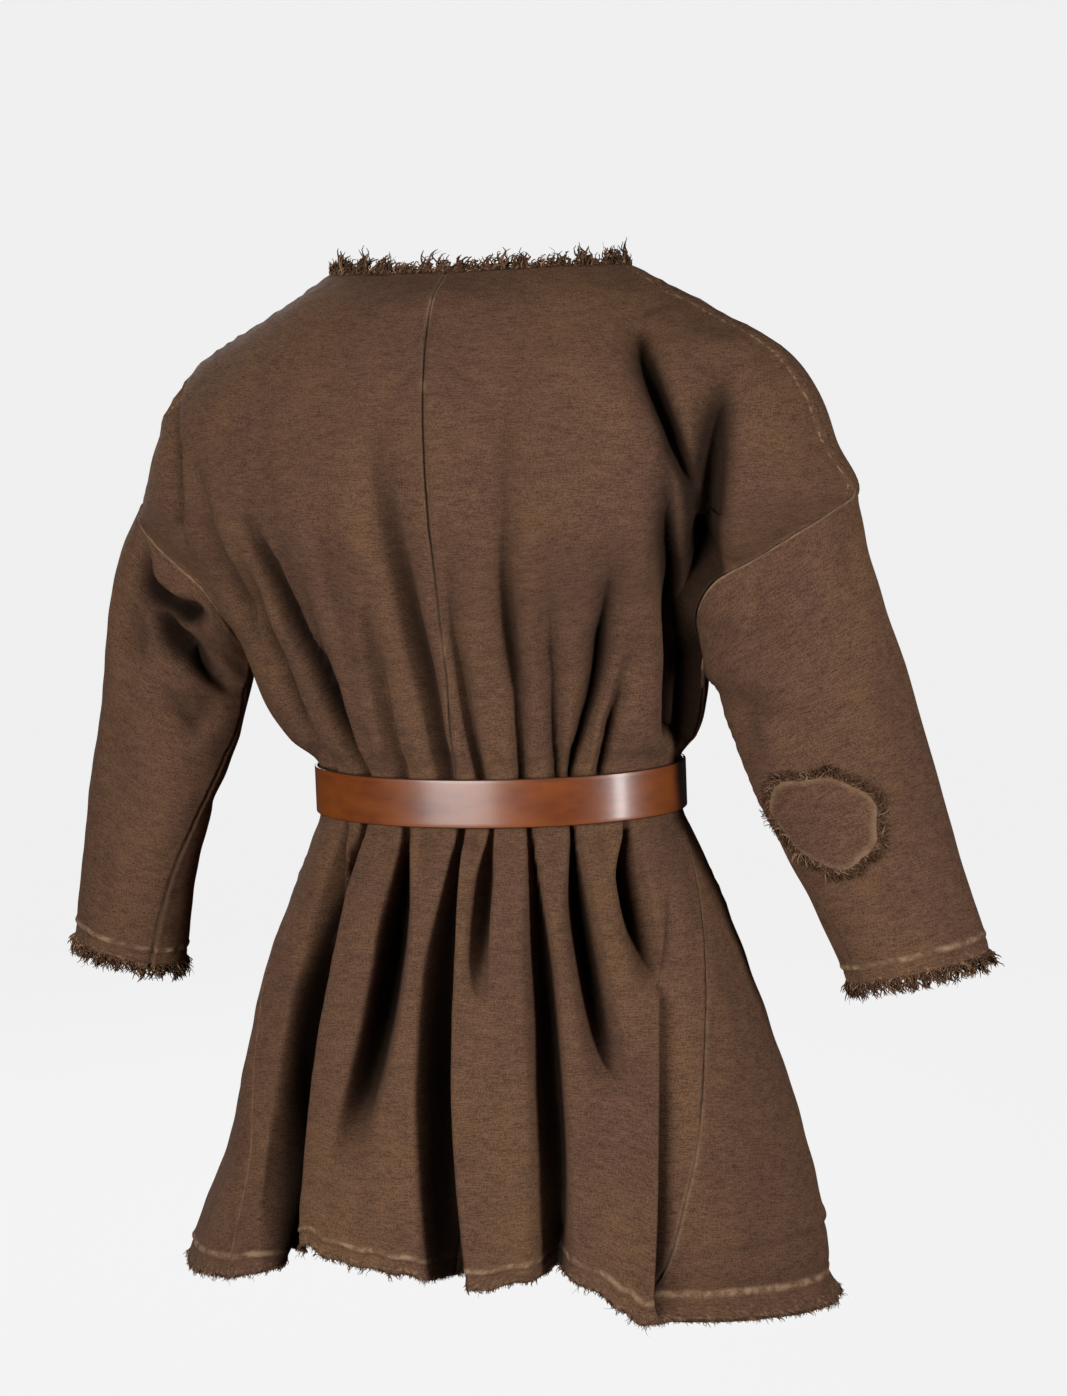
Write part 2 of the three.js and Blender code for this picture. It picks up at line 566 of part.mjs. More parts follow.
// The round patch lies on the right sleeve, made from the sleeve's own surface.
function onSleeve(angle, radius, lift) {
  const around = (180 - patchPlace.angle) / 360 - (radius * Math.sin(angle)) / (2 * Math.PI * sleeveRadius);
  const ring = patchPlace.ring + (radius * Math.cos(angle)) / ringSpacing;
  const step = 0.004;
  const across = plus(sleevePoint(-1, around + step, ring), sleevePoint(-1, around - step, ring), -1);
  const up = plus(sleevePoint(-1, around, ring - step), sleevePoint(-1, around, ring + step), -1);
  const normal = across.cross(up).normalize();
  return { point: plus(sleevePoint(-1, around, ring), normal, lift), normal };
}
const patchEdge = (k) => patchRadius * (1 + 0.05 * Math.sin(3 * k + 0.6) + 0.03 * Math.sin(7 * k));
function elbowPatch() {
  const points = [];
  const index = [];
  for (const lift of [patchLift + patchThickness, patchLift]) {
    for (const share of patchRings) {
      for (let k = 0; k < patchSides; k++) {
        const angle = (2 * Math.PI * k) / patchSides;
        points.push(onSleeve(angle, patchEdge(angle) * share, lift).point);
      }
    }
    points.push(onSleeve(0, 0, lift).point);
  }
  const layer = patchRings.length * patchSides + 1;
  for (let k = 0; k < patchSides; k++) {
    const n = (k + 1) % patchSides;
    for (let r = 0; r + 1 < patchRings.length; r++) {
      const [a, b] = [r * patchSides + k, r * patchSides + n];
      const [c, d] = [a + patchSides, b + patchSides];
      index.push(a, b, d, a, d, c);
      index.push(layer + a, layer + d, layer + b, layer + a, layer + c, layer + d);
    }
    const inner = (patchRings.length - 1) * patchSides;
    index.push(inner + k, inner + n, layer - 1);
    index.push(layer + inner + k, 2 * layer - 1, layer + inner + n);
    index.push(k, layer + k, layer + n, k, layer + n, n);
  }
  return outwards(geometryOf(points, index));
}
function patchStations() {
  return Array.from({ length: patchSides }, (_, k) => {
    const angle = (2 * Math.PI * k) / patchSides;
    const { point, normal } = onSleeve(angle, patchEdge(angle), patchLift + patchThickness);
    const out = plus(point, onSleeve(angle, 0, patchLift + patchThickness).point, -1);
    out.addScaledVector(normal, -out.dot(normal)).normalize();
    return { point, out, normal: plus(normal, out, 0.05).normalize() };
  });
}
// Turns a closed shape inside out where its volume comes out negative.
function outwards(geometry) {
  const { index } = geometry;
  const at = (k) => vector().fromBufferAttribute(geometry.attributes.position, index.getX(k));
  let volume = 0;
  for (let k = 0; k < index.count; k += 3) volume += at(k).cross(at(k + 1)).dot(at(k + 2));
  if (volume < 0) geometry.setIndex([...index.array].reverse());
  return geometry;
}

// The belt. Its strap starts at the buckle's bar in front, runs round the waist, goes through the
// buckle and ends as a tail that lies on the outside of its own first stretch.
// A point beside the waist: run is the distance along the cloth from the middle of the front
// towards the left, and lift the height above the cloth.
const waistLength = ellipseLength();
function ellipseLength() {
  const { halfWidth: a, halfDepth: b } = waist;
  let length = 0;
  for (let k = 0; k < 720; k++) {
    const t = ((k + 0.5) * Math.PI) / 360;
    length += Math.hypot(a * Math.cos(t), b * Math.sin(t)) * (Math.PI / 360);
  }
  return length;
}
function waistAngle(run) {
  const { halfWidth: a, halfDepth: b } = waist;
  let angle = 0;
  const steps = Math.max(1, Math.ceil(Math.abs(run) / 2));
  for (let k = 0; k < steps; k++) {
    const middle = angle + run / steps / Math.hypot(a * Math.cos(angle), b * Math.sin(angle)) / 2;
    angle += run / steps / Math.hypot(a * Math.cos(middle), b * Math.sin(middle));
  }
  return angle;
}
function besideWaist(run, lift, z) {
  const { halfWidth: a, halfDepth: b } = waist;
  const angle = waistAngle(run);
  const normal = vector(b * Math.sin(angle), -a * Math.cos(angle), 0).normalize();
  return plus(vector(a * Math.sin(angle), -b * Math.cos(angle), z), normal, lift);
}
const bump = (run, at, width) => Math.exp(-(((run - at) / width) ** 2));
function strapLift(run) {
  const over = smooth((run - waistLength + 45) / 60);
  const local = run > waistLength / 2 ? run - waistLength : run;
  const foot = strapOverKeeper * bump(local, keeper.at, 26);
  return strapInner + foot + (strapOverlap + strapOverBar * bump(local, buckle.bar, 14)) * over;
}
function band(runs, lift, thickness, halfWidth) {
  const grid = (extra) => [1, -1].map((s) => runs.map((run) => {
    return besideWaist(run, lift(run) + extra, beltMiddle + s * halfWidth(run));
  }));
  return outwards(wall({ outer: grid(thickness), inner: grid(0) }));
}
function strap() {
  const [from, pastKeeper, lap, to] = [strapStart, 70, waistLength - 60, waistLength + tailLength];
  const single = [...range(from, pastKeeper, 6), ...range(pastKeeper, lap, 56).slice(1)];
  const runs = [...single, ...range(lap, to, 24).slice(1)];
  const round = 14;
  const taper = (run) => {
    const into = Math.max(0, run - to + round);
    return (beltWidth / 2) * Math.sqrt(1 - (into / (round + 1)) ** 2);
  };
  const solid = toSolid(band(runs, strapLift, beltThickness, taper));
  const cutter = new THREE.BoxGeometry(slot.length, slot.height, slot.depth);
  cutter.translate(slot.middle, -waist.halfDepth - slot.depth, beltMiddle);
  return fromSolid(solid.subtract(toSolid(cutter)));
}
function toSolid(geometry) {
  const bare = geometry.clone();
  bare.deleteAttribute("normal");
  bare.deleteAttribute("uv");
  const merged = mergeVertices(bare, 1e-4);
  return new wasm.Manifold(new wasm.Mesh({
    numProp: 3,
    vertProperties: new Float32Array(merged.attributes.position.array),
    triVerts: new Uint32Array(merged.index.array),
  }));
}
function fromSolid(solid) {
  const mesh = solid.getMesh();
  const geometry = new THREE.BufferGeometry();
  geometry.setAttribute("position", new THREE.BufferAttribute(new Float32Array(mesh.vertProperties), 3));
  geometry.setIndex([...mesh.triVerts]);
  geometry.computeVertexNormals();
  return geometry;
}
function keeperLoop() {
  const low = strapLift(keeper.at) - keeper.slack - keeper.thickness;
  const high = strapLift(keeper.at + waistLength) + beltThickness + keeper.slack;
  const half = beltWidth / 2 + keeper.slack;
  const shape = new THREE.Shape();
  const box = (path, grow) => {
    path.moveTo(-half - grow, low + keeper.thickness - grow);
    path.lineTo(half + grow, low + keeper.thickness - grow);
    path.lineTo(half + grow, high + grow);
    path.lineTo(-half - grow, high + grow);
    path.closePath();
    return path;
  };
  box(shape, keeper.thickness);
  shape.holes.push(box(new THREE.Path(), 0));
  const geometry = new THREE.ExtrudeGeometry(shape, { depth: keeper.width, steps: 1, bevelEnabled: false });
  geometry.translate(0, 0, -keeper.width / 2);
  return geometry;
}

// The buckle's frame leans: its bar lies under the tail and its far side lies over it.
function inFront(x, lift) {
  const radius = waist.halfWidth ** 2 / waist.halfDepth;
  return -waist.halfDepth + (x * x) / (2 * radius) - lift;
}
function buckleFrame() {
  const halfWidth = (buckle.bar - buckle.far) / 2;
  const halfHeight = (buckle.inside + buckle.wire) / 2;
  const ring = (path, grow, corner) => {
    const [w, h] = [halfWidth + grow, halfHeight + grow];
    path.moveTo(-w + corner, -h);
    path.lineTo(w - corner, -h);
    path.lineTo(w, -h + corner);
    path.lineTo(w, h - corner);
    path.lineTo(w - corner, h);
    path.lineTo(-w + corner, h);
    path.lineTo(-w, h - corner);
    path.lineTo(-w, -h + corner);
    path.closePath();
    return path;
  };
  const shape = ring(new THREE.Shape(), buckle.wire / 2, 4);
  shape.holes.push(ring(new THREE.Path(), -buckle.wire / 2, 2));
  const geometry = new THREE.ExtrudeGeometry(shape, { depth: buckle.depth, steps: 1, bevelEnabled: false });
  geometry.translate(0, 0, -buckle.depth / 2);
  return geometry.rotateX(Math.PI / 2);
}
function buckleProng() {
  const line = prong.line.map(([x, lift]) => new THREE.Vector2(x, inFront(x, lift)));
  const sides = line.map((p, k) => {
    const before = line[Math.max(0, k - 1)];
    const after = line[Math.min(line.length - 1, k + 1)];
    const run = after.clone().sub(before).normalize();
    return new THREE.Vector2(-run.y, run.x).multiplyScalar(prong.half);
  });
  const near = line.map((p, k) => p.clone().add(sides[k]));
  const far = line.map((p, k) => p.clone().sub(sides[k])).reverse();
  const shape = new THREE.Shape([...near, ...far]);
  const geometry = new THREE.ExtrudeGeometry(shape, { depth: prong.width, steps: 1, bevelEnabled: false });
  return geometry.translate(0, 0, beltMiddle - prong.width / 2);
}

const tunic = new THREE.Group();
function add(name, geometry, material) {
  const mesh = new THREE.Mesh(geometry, material);
  mesh.name = name;
  tunic.add(mesh);
  return mesh;
}
for (const [name, piece] of Object.entries(pieces)) {
  const walls = seamed(piece, name.startsWith("sleeve"));
  add(name, outwards(wall({ ...walls, flip: piece.flip, closed: piece.closed })), materials.cloth);
}
const strip = (name, edge, stations, options) => {
  const shape = { height: stripHeight[edge], lock: lockLength[edge], thickness: clothThickness, ...options };
  add(name, outwards(frayed(stations, shape)), materials.fringe);
};
strip("neck_fringe", "neck", bodyRing(0, 1), { seed: 1, rise: 0.9 });
strip("hem_fringe", "hem", bodyRing(-1, -2), { seed: 2, every: 3 });
strip("cuff_fringe_left", "cuff", cuffStations(1), { seed: 3 });
strip("cuff_fringe_right", "cuff", cuffStations(-1), { seed: 4 });
add("elbow_patch", elbowPatch(), materials.cloth);
strip("patch_fringe", "patch", patchStations(), { seed: 5, thickness: patchThickness, spread: 0.1 });
add("belt_strap", strap(), materials.leather);
// The keeper's ring is drawn flat, then stood across the strap.
const keeperPose = new THREE.Group();
const keeperFoot = besideWaist(keeper.at, 0, beltMiddle);
const keeperOut = plus(besideWaist(keeper.at, 1, beltMiddle), keeperFoot, -1);
const keeperMesh = add("belt_keeper", keeperLoop(), materials.leather);
const keeperAlong = vector(0, 0, 1).cross(keeperOut);
keeperPose.matrixAutoUpdate = false;
keeperPose.matrix.makeBasis(vector(0, 0, 1), keeperOut, keeperAlong).setPosition(keeperFoot);
keeperPose.add(keeperMesh);
tunic.add(keeperPose);

const frameMesh = add("buckle_frame", buckleFrame(), materials.metal);
const barY = inFront(buckle.bar, buckle.barLift);
const farY = inFront(buckle.far, buckle.farLift);
frameMesh.position.set((buckle.bar + buckle.far) / 2, (barY + farY) / 2, beltMiddle);
frameMesh.rotation.z = Math.atan2(barY - farY, buckle.bar - buckle.far);
add("buckle_prong", buckleProng(), materials.metal);

export default tunic;
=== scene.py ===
"""A belted tunic of plain cloth with frayed edges, in the shape it has when worn.

The front faces -Y and the wearer's left is +X. Sizes in the tables are millimetres, and the meshes
are metres."""
import math

import bpy
import numpy as np
from mathutils import Matrix, Vector


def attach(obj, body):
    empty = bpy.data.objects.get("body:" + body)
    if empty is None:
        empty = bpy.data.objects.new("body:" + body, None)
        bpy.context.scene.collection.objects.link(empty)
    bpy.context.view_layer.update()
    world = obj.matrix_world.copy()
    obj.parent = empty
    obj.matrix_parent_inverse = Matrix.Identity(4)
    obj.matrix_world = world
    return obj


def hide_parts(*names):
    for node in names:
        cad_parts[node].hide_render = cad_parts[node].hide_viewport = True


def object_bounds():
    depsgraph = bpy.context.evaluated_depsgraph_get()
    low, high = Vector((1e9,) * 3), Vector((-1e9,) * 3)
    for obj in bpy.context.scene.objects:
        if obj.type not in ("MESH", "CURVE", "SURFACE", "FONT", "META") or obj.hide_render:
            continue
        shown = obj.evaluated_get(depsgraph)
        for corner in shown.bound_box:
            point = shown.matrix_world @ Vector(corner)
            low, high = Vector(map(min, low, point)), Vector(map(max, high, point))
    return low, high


bl_info = {
    "name": "Belted tunic",
    "version": (1, 0, 0),
    "blender": (4, 5, 0),
    "location": "View3D > Sidebar > Tunic",
    "description": "Cuts, sews and frays a belted tunic and sets it on a pale stage",
    "category": "Add Mesh",
}

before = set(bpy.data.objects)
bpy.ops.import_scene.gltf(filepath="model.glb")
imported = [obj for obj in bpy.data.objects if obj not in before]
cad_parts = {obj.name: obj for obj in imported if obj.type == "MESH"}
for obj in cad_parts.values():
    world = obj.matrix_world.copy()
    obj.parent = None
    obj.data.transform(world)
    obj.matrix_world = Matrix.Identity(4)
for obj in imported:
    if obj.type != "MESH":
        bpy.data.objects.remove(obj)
CAD_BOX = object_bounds()

# Rows of the body. Each runs from the centre line round to the side edge of its panel.
# Columns: middle y, middle z, start handle, edge x, edge y, edge z, turn, end handle, sway
BACK_ROWS = [
    [84, -3, 72, 130, 0, -3, 90, 46, 0],
    [120, -26, 96, 165, 4, -24, 84, 62, -1],
    [141, -56, 118, 214, 7, -51, 76, 70, -2],
    [152, -86, 140, 257, 9, -76, 72, 74, -3],
    [157, -118, 158, 287, 9, -113, 72, 78, 0],
    [158, -150, 168, 304, 6, -157, 72, 80, 2],
    [157, -182, 174, 321, 0, -196, 72, 84, 0],
    [154, -212, 170, 311, 30, -211, 62, 74, 2],
    [150, -240, 160, 286, 50, -229, 50, 64, 5],
    [146, -266, 140, 256, 60, -249, 42, 54, 9],
    [142, -291, 122, 228, 64, -268, 44, 50, 14],
    [136, -315, 112, 212, 48, -297, 70, 50, 17],
    [129, -340, 110, 207, 10, -332, 90, 62, 16],
    [125, -372, 106, 197, 4, -372, 90, 66, 12],
    [121, -402, 100, 182, 1, -402, 90, 64, 6],
    [117, -424, 88, 160, 0, -424, 90, 64, 0],
]
FRONT_ROWS = [
    [-100, -60, 80, 130, 0, -3, 90, 46, 0],
    [-112, -80, 98, 165, 4, -24, 96, 62, -1],
    [-122, -103, 116, 214, 7, -51, 104, 74, -2],
    [-129, -127, 134, 257, 9, -76, 108, 80, -3],
    [-134, -152, 148, 287, 9, -113, 108, 84, 0],
    [-137, -178, 158, 304, 6, -157, 104, 84, 2],
    [-139, -204, 164, 321, 0, -196, 94, 84, 0],
    [-140, -228, 160, 311, -28, -213, 62, 74, 2],
    [-140, -250, 150, 288, -50, -233, 50, 62, 5],
    [-139, -272, 134, 258, -64, -257, 42, 52, 9],
    [-138, -294, 120, 230, -68, -282, 44, 48, 14],
    [-136, -316, 110, 212, -46, -310, 70, 50, 17],
    [-133, -340, 108, 207, 10, -332, 90, 66, 16],
    [-128, -372, 106, 197, 4, -372, 90, 66, 12],
    [-122, -402, 100, 182, 1, -402, 90, 64, 6],
    [-117, -424, 88, 160, 0, -424, 90, 64, 0],
]
# Rows of the skirt, each an ellipse.
# Columns: half width, half depth, seam angle, back z, seam z, side z, front z, sway
SKIRT_ROWS = [
    [160, 117, 90, -466, -466, -466, -466, 0],
    [170, 124, 86, -490, -492, -492, -490, 0],
    [190, 135, 77, -536, -540, -541, -538, 0],
    [218, 148, 66, -600, -608, -612, -604, 3],
    [244, 162, 56, -670, -684, -692, -678, 3],
    [266, 175, 49, -738, -758, -770, -752, 3],
    [288, 188, 45, -798, -824, -836, -818, 9],
    [296, 195, 43, -828, -860, -876, -850, 15],
]
SHOULDER, UNDERARM, BELT_FOOT, HEM = 6, 12, 16, 23
GORE_TOP = BELT_FOOT + 0.2

# Troughs in the cloth. Columns: top z, end z, x at top, middle and end, depth at top, middle and
# end, width towards -x, width towards +x, sideways lean of the floor for each mm of depth
BACK_FOLDS = [
    [-466, -600, 111, 128, 156, 12, 25, 0, 8, 13, 0.4],
    [-466, -850, 89, 143, 147, 16, 66, 64, 12, 26, 0.72],
    [-466, -745, 45, 57, 92, 16, 66, 0, 11, 20, 0.45],
    [-466, -850, -6, 10, -10, 16, 66, 58, 10, 20, 0.14],
    [-466, -610, -31, -25, -24, 14, 34, 0, 7, 12, 0],
    [-466, -850, -63, -88, -98, 16, 54, 34, 7, 20, 0],
    [-466, -690, -97, -118, -142, 16, 52, 0, 7, 18, 0],
    [-466, -610, -135, -150, -168, 14, 38, 0, 7, 14, 0],
    [-520, -850, -166, -182, -186, 0, 19, 34, 12, 10, 0.8],
]
BACK_GATHERS = [
    [-205, -424, 168, 131, 85, 8, 28, 20, 4, 9, 0.4],
    [-240, -424, 184, 166, 128, 5, 22, 17, 8, 14, 0.3],
    [-90, -210, 275, 262, 248, 6, 24, 10, 6, 10, 0.2],
    [-150, -330, 238, 205, 190, 4, 14, 6, 7, 12, 0.2],
    [-240, -424, 128, 116, 90, 4, 15, 15, 7, 11, 0.2],
    [-150, -424, 42, 24, 8, 6, 21, 17, 10, 20, 0],
    [-240, -424, -10, -13, -23, 3, 13, 17, 7, 11, 0],
    [-240, -424, -56, -60, -58, 4, 15, 18, 8, 12, 0],
    [-240, -424, -94, -91, -86, 4, 14, 18, 8, 12, 0],
    [-250, -424, -147, -127, -98, 8, 26, 20, 7, 12, 0],
    [-320, -424, -151, -137, -119, 4, 17, 16, 6, 9, 0],
    [-45, -185, -165, -191, -211, 9, 42, 16, 7, 12, -0.2],
    [-160, -400, -192, -188, -171, 9, 32, 22, 6, 11, -0.2],
    [-95, -405, -236, -218, -182, 12, 54, 36, 9, 17, -0.25],
    [-260, -424, 68, 62, 50, 3, 13, 15, 8, 12, 0],
    [-80, -330, -68, -63, -58, 2, 11, 5, 14, 20, 0],
    [-110, -300, 158, 148, 132, 2, 9, 4, 14, 20, 0],
    [-190, -340, 100, 94, 88, 3, 8, 4, 16, 22, 0],
]
FRONT_FOLDS = [
    [-466, -860, 20, 34, 52, 9, 32, 38, 24, 28, 0.2],
    [-466, -860, 62, 96, 128, 9, 28, 32, 20, 22, 0],
    [-466, -620, 108, 126, 140, 8, 14, 0, 14, 14, 0],
    [-466, -860, -30, -42, -40, 9, 34, 38, 26, 26, -0.2],
    [-466, -860, -72, -112, -140, 9, 30, 30, 22, 22, 0],
    [-466, -600, -112, -124, -136, 8, 12, 0, 13, 13, 0],
]
FRONT_GATHERS = [
    [-300, -424, 120, 104, 76, 4, 12, 9, 13, 13, 0],
    [-330, -424, 54, 52, 48, 2, 8, 9, 11, 11, 0],
    [-350, -424, 14, 18, 20, 2, 6, 8, 11, 11, 0],
    [-360, -424, -16, -15, -14, 2, 6, 8, 11, 11, 0],
    [-320, -424, -60, -54, -44, 2, 9, 9, 12, 12, 0],
    [-290, -424, -150, -120, -84, 4, 13, 9, 14, 14, 0],
    [-150, -320, 176, 190, 184, 3, 12, 8, 18, 16, 0],
    [-140, -310, -180, -194, -186, 3, 12, 8, 16, 18, 0],
]
# Smaller creases, from one end to the other, on the same surface. Columns: x and z of one end,
# x and z of the other end, depth, width
BACK_CREASES = [
    [40, -395, 47, -424, 4, 6], [104, -350, 76, -410, 3, 8], [6, -400, 2, -424, 4, 6],
    [-38, -405, -41, -424, 4, 5], [-72, -395, -73, -424, 4, 5], [-106, -400, -101, -424, 4, 5],
    [66, -398, 62, -424, 4, 5], [150, -392, 138, -424, 3, 6], [-140, -392, -132, -424, 4, 6],
    [118, -330, 100, -390, 2.5, 9], [-30, -250, -34, -330, 1.5, 14], [60, -240, 52, -340, 2, 13],
    [-112, -230, -120, -330, 2, 14], [96, -200, 92, -300, 2, 14], [-128, -352, -124, -372, 4, 4],
    [-132, -372, -128, -392, 3, 4], [150, -250, 162, -232, 3, 5], [30, -468, 30, -500, 4, 6],
    [64, -468, 68, -505, 4, 6], [98, -468, 106, -500, 4, 5], [-14, -468, -12, -494, 4, 4],
    [-48, -468, -50, -500, 4, 6], [-82, -468, -88, -505, 4, 6], [-118, -468, -124, -500, 4, 5],
    [-92, -800, -78, -838, 8, 8], [-60, -822, -102, -836, -7, 8], [-104, -806, -88, -792, 6, 6],
    [8, -640, 26, -720, 3, 12], [-60, -560, -66, -640, -3, 12], [-128, -700, -138, -800, 3, 12],
    [176, -300, 196, -276, 4, 7], [-204, -300, -196, -340, 5, 8], [-212, -262, -205, -318, -4, 9],
]
FRONT_CREASES = [
    [38, -398, 34, -424, 4, 6], [80, -395, 70, -424, 4, 6], [-34, -400, -32, -424, 4, 6],
    [-84, -395, -74, -424, 4, 6], [106, -388, 98, -424, 3, 6], [-118, -385, -108, -424, 4, 6],
    [140, -380, 128, -424, 4, 6], [-146, -382, -134, -424, 4, 6], [60, -220, 40, -330, 2, 15],
    [-70, -230, -50, -330, 2, 15], [4, -468, 8, -500, 4, 6], [44, -468, 50, -505, 4, 6],
    [88, -468, 98, -500, 4, 6], [-8, -468, -12, -498, 4, 5], [-52, -468, -62, -505, 4, 6],
    [-92, -468, -104, -500, 4, 6], [80, -640, 88, -760, -3, 14], [-76, -700, -90, -800, 3, 12],
    [110, -140, 150, -210, 2.5, 16], [-104, -150, -150, -220, 2.5, 16],
]
# Rise of the hem above its row, from the centre line to the gore seam. Columns: place, rise
HEM_RISE = {
    "back left": [
        [0, -12], [0.17, 0], [0.3, 8], [0.45, 18], [0.55, 32], [0.72, 26], [0.86, 9], [1, 5],
    ],
    "back right": [
        [0, -12], [0.16, -9], [0.32, 2], [0.48, 15], [0.62, 8], [0.74, -6], [0.82, -16], [1, -12],
    ],
    "front left": [[0, 4], [0.4, -5], [0.7, 8], [1, 5]],
    "front right": [[0, 4], [0.35, 10], [0.7, -8], [1, -12]],
}
# Rings of a sleeve, from the armhole to the cuff, for the left one. Each is an ellipse.
# Columns: centre x, centre y, centre z, rise of its plane, long half, short half, roll,
# share of ellipse, spin of the underarm seam, shift of both sleeves towards the left
SLEEVE_ROWS = [
    [264, -1, -266, 49, 90, 66, 0, 0, 0, 0],
    [274, -3, -300, 40, 82, 62, -12, 0.45, 0, 9],
    [285, -6, -336, 31, 79, 58, -22, 0.85, -6, 11],
    [296, -9, -376, 24, 79, 54, -30, 1, -14, 12],
    [309, -12, -418, 20, 78, 50, -34, 1, -24, 13],
    [323, -14, -460, 17, 75, 46, -35, 1, -33, 13],
    [337, -16, -504, 14, 70, 45, -35, 1, -42, 11],
    [350, -18, -551, 12, 66, 44, -35, 1, -50, 7],
    [363, -20, -602, 10, 63, 43, -35, 1, -55, 3],
]
# Creases across a sleeve. Columns: ring and angle of one end, ring and angle of the other end,
# depth, width
BOTH_SLEEVE_CREASES = [
    [0.7, 150, 2.2, 60, 8, 16], [1.6, 175, 3.2, 100, 7, 15], [0.8, -150, 2.4, -70, 7, 16],
    [4.6, -160, 4.0, -90, 5, 15],
]
LEFT_SLEEVE_CREASES = BOTH_SLEEVE_CREASES + [
    [0.2, 50, 0.85, 66, 36, 8], [0.85, 62, 0.76, 106, 36, 8],
    [0.78, 98, 0.46, 126, 44, 8], [1.15, 78, 1.45, 104, 24, 9], [1.4, 98, 1.5, 156, 36, 11],
    [0.36, 84, 0.46, 112, -10, 9], [0.9, 58, 2.4, 64, 9, 18],
    [2.6, 150, 3.6, 110, 6, 10], [2.4, 90, 2.9, 140, 7, 8], [3.6, 60, 4.6, 100, 3, 12],
    [5.4, 40, 6.6, 60, 2.5, 14], [6.4, 120, 7.6, 100, 2, 12], [2.0, -120, 3.4, -60, 4, 10],
]
RIGHT_SLEEVE_CREASES = BOTH_SLEEVE_CREASES + [
    [0.3, 20, 1.4, 24, 3, 8], [0.2, 50, 1.8, 60, 3, 12],
    [0.2, 84, 1.4, 96, 3.5, 10], [2.4, 130, 3.6, 160, 4, 12], [6.6, 100, 7.6, 60, 2.5, 12],
    [5.6, 40, 7.0, 30, 2, 14], [2.0, -120, 3.4, -60, 4, 10], [3.0, 30, 4.4, 60, 2, 16],
]
PATCH_RING, PATCH_ANGLE, PATCH_RADIUS = 5.05, 128, 41
# A sleeve's last ring, mm from one ring to the next, and its radius where it lies unrolled
CUFF, RING_SPACING, SLEEVE_RADIUS = 8, 42, 62
WAIST = (160, 117)
BELT_MIDDLE, BELT_HUG = -445, 26
# From this row down the body's grid lines stand closer together, and how many lines that takes
LOW_ROW, LOW_LINES = 22.0, 26
# Millimetres of cloth to a row near the hem, from the hem up to its stitching, and from the
# shoulder seam to its felled stitching. A point nowhere near a seam counts as far from it.
ROW_LENGTH, STITCH_LINE, FELL_LINE, FAR = 36.0, 19.0, 17.0, 100.0

# Where the camera stands for the view in the photograph, in pixels of a 1067 x 1396 frame.
PHOTO = {
    "height": 1396, "turn": 198.93, "pitch": 6.86, "roll": -2.27, "left": 37.1, "level": 14.0,
    "distance": 3200.0, "focal": 3744.0,
}


def smooth(t):
    """3t^2 - 2t^3, with t kept from 0 to 1."""
    t = np.clip(t, 0, 1)
    return t * t * (3 - 2 * t)


def gauss(t):
    """The bell e to the minus t squared."""
    return np.exp(-t * t)


def unit(v):
    """v over its own length."""
    return v / np.maximum(np.linalg.norm(v, axis=-1, keepdims=True), 1e-9)


def alike(*values):
    """Several numbers or arrays as arrays of one shape."""
    return np.broadcast_arrays(*(np.asarray(value, float) for value in values))


def rows_at(table, height):
    """The table's row at each height, on a cubic that passes through every row (Catmull-Rom)."""
    table = np.asarray(table, float)
    padded = np.vstack([2 * table[0] - table[1], table, 2 * table[-1] - table[-2]])
    height = np.asarray(height, float)
    i = np.clip(np.floor(height), 0, len(table) - 2).astype(int)
    t = (height - i)[..., None]
    a, b, c, d = (padded[i + k] for k in range(4))
    slope = (c - a) * t + (2 * a - 5 * b + 4 * c - d) * t * t
    return 0.5 * (2 * b + slope + (3 * b - a - 3 * c + d) * t**3)


def control_rows(face):
    """The four control points of each row of the back (1) or the front (-1). A row of the skirt is
    the cubic that lies closest to an arc of its ellipse, with handles 4/3 tan(angle / 4) long."""
    middle_y, middle_z, start, x, y, z, turn, end, sway = np.array(
        BACK_ROWS if face > 0 else FRONT_ROWS, float
    ).T
    turn = np.radians(turn)
    near_x, near_y = x - np.cos(turn) * end, y + face * np.sin(turn) * end
    upper = np.stack([middle_y, middle_z, start, middle_z, near_x, near_y, z, x, y, z, sway], -1)
    a, b, angle, back_z, seam_z, _, front_z, sway = np.array(SKIRT_ROWS, float).T
    t = np.radians(angle)
    reach = 4 / 3 * np.tan(t / 4)
    middle_z = back_z if face > 0 else front_z
    x, y = a * np.sin(t), face * b * np.cos(t)
    near_x, near_y = x - reach * a * np.cos(t), y + face * reach * b * np.sin(t)
    near_z = seam_z - reach * (seam_z - middle_z) * 0.6
    skirt = [face * b, middle_z, reach * a, middle_z, near_x, near_y, near_z, x, y, seam_z, sway]
    return np.vstack([upper, np.stack(skirt, -1)])


CONTROLS = {face: control_rows(face) for face in (1, -1)}


def along_table(table, place):
    """The value at a place, eased from each entry of the table to the next."""
    at, value = np.array(table, float).T
    i = np.clip(np.searchsorted(at, place, side="left"), 1, len(at) - 1)
    share = smooth((place - at[i - 1]) / (at[i] - at[i - 1]))
    return value[i - 1] + (value[i] - value[i - 1]) * share


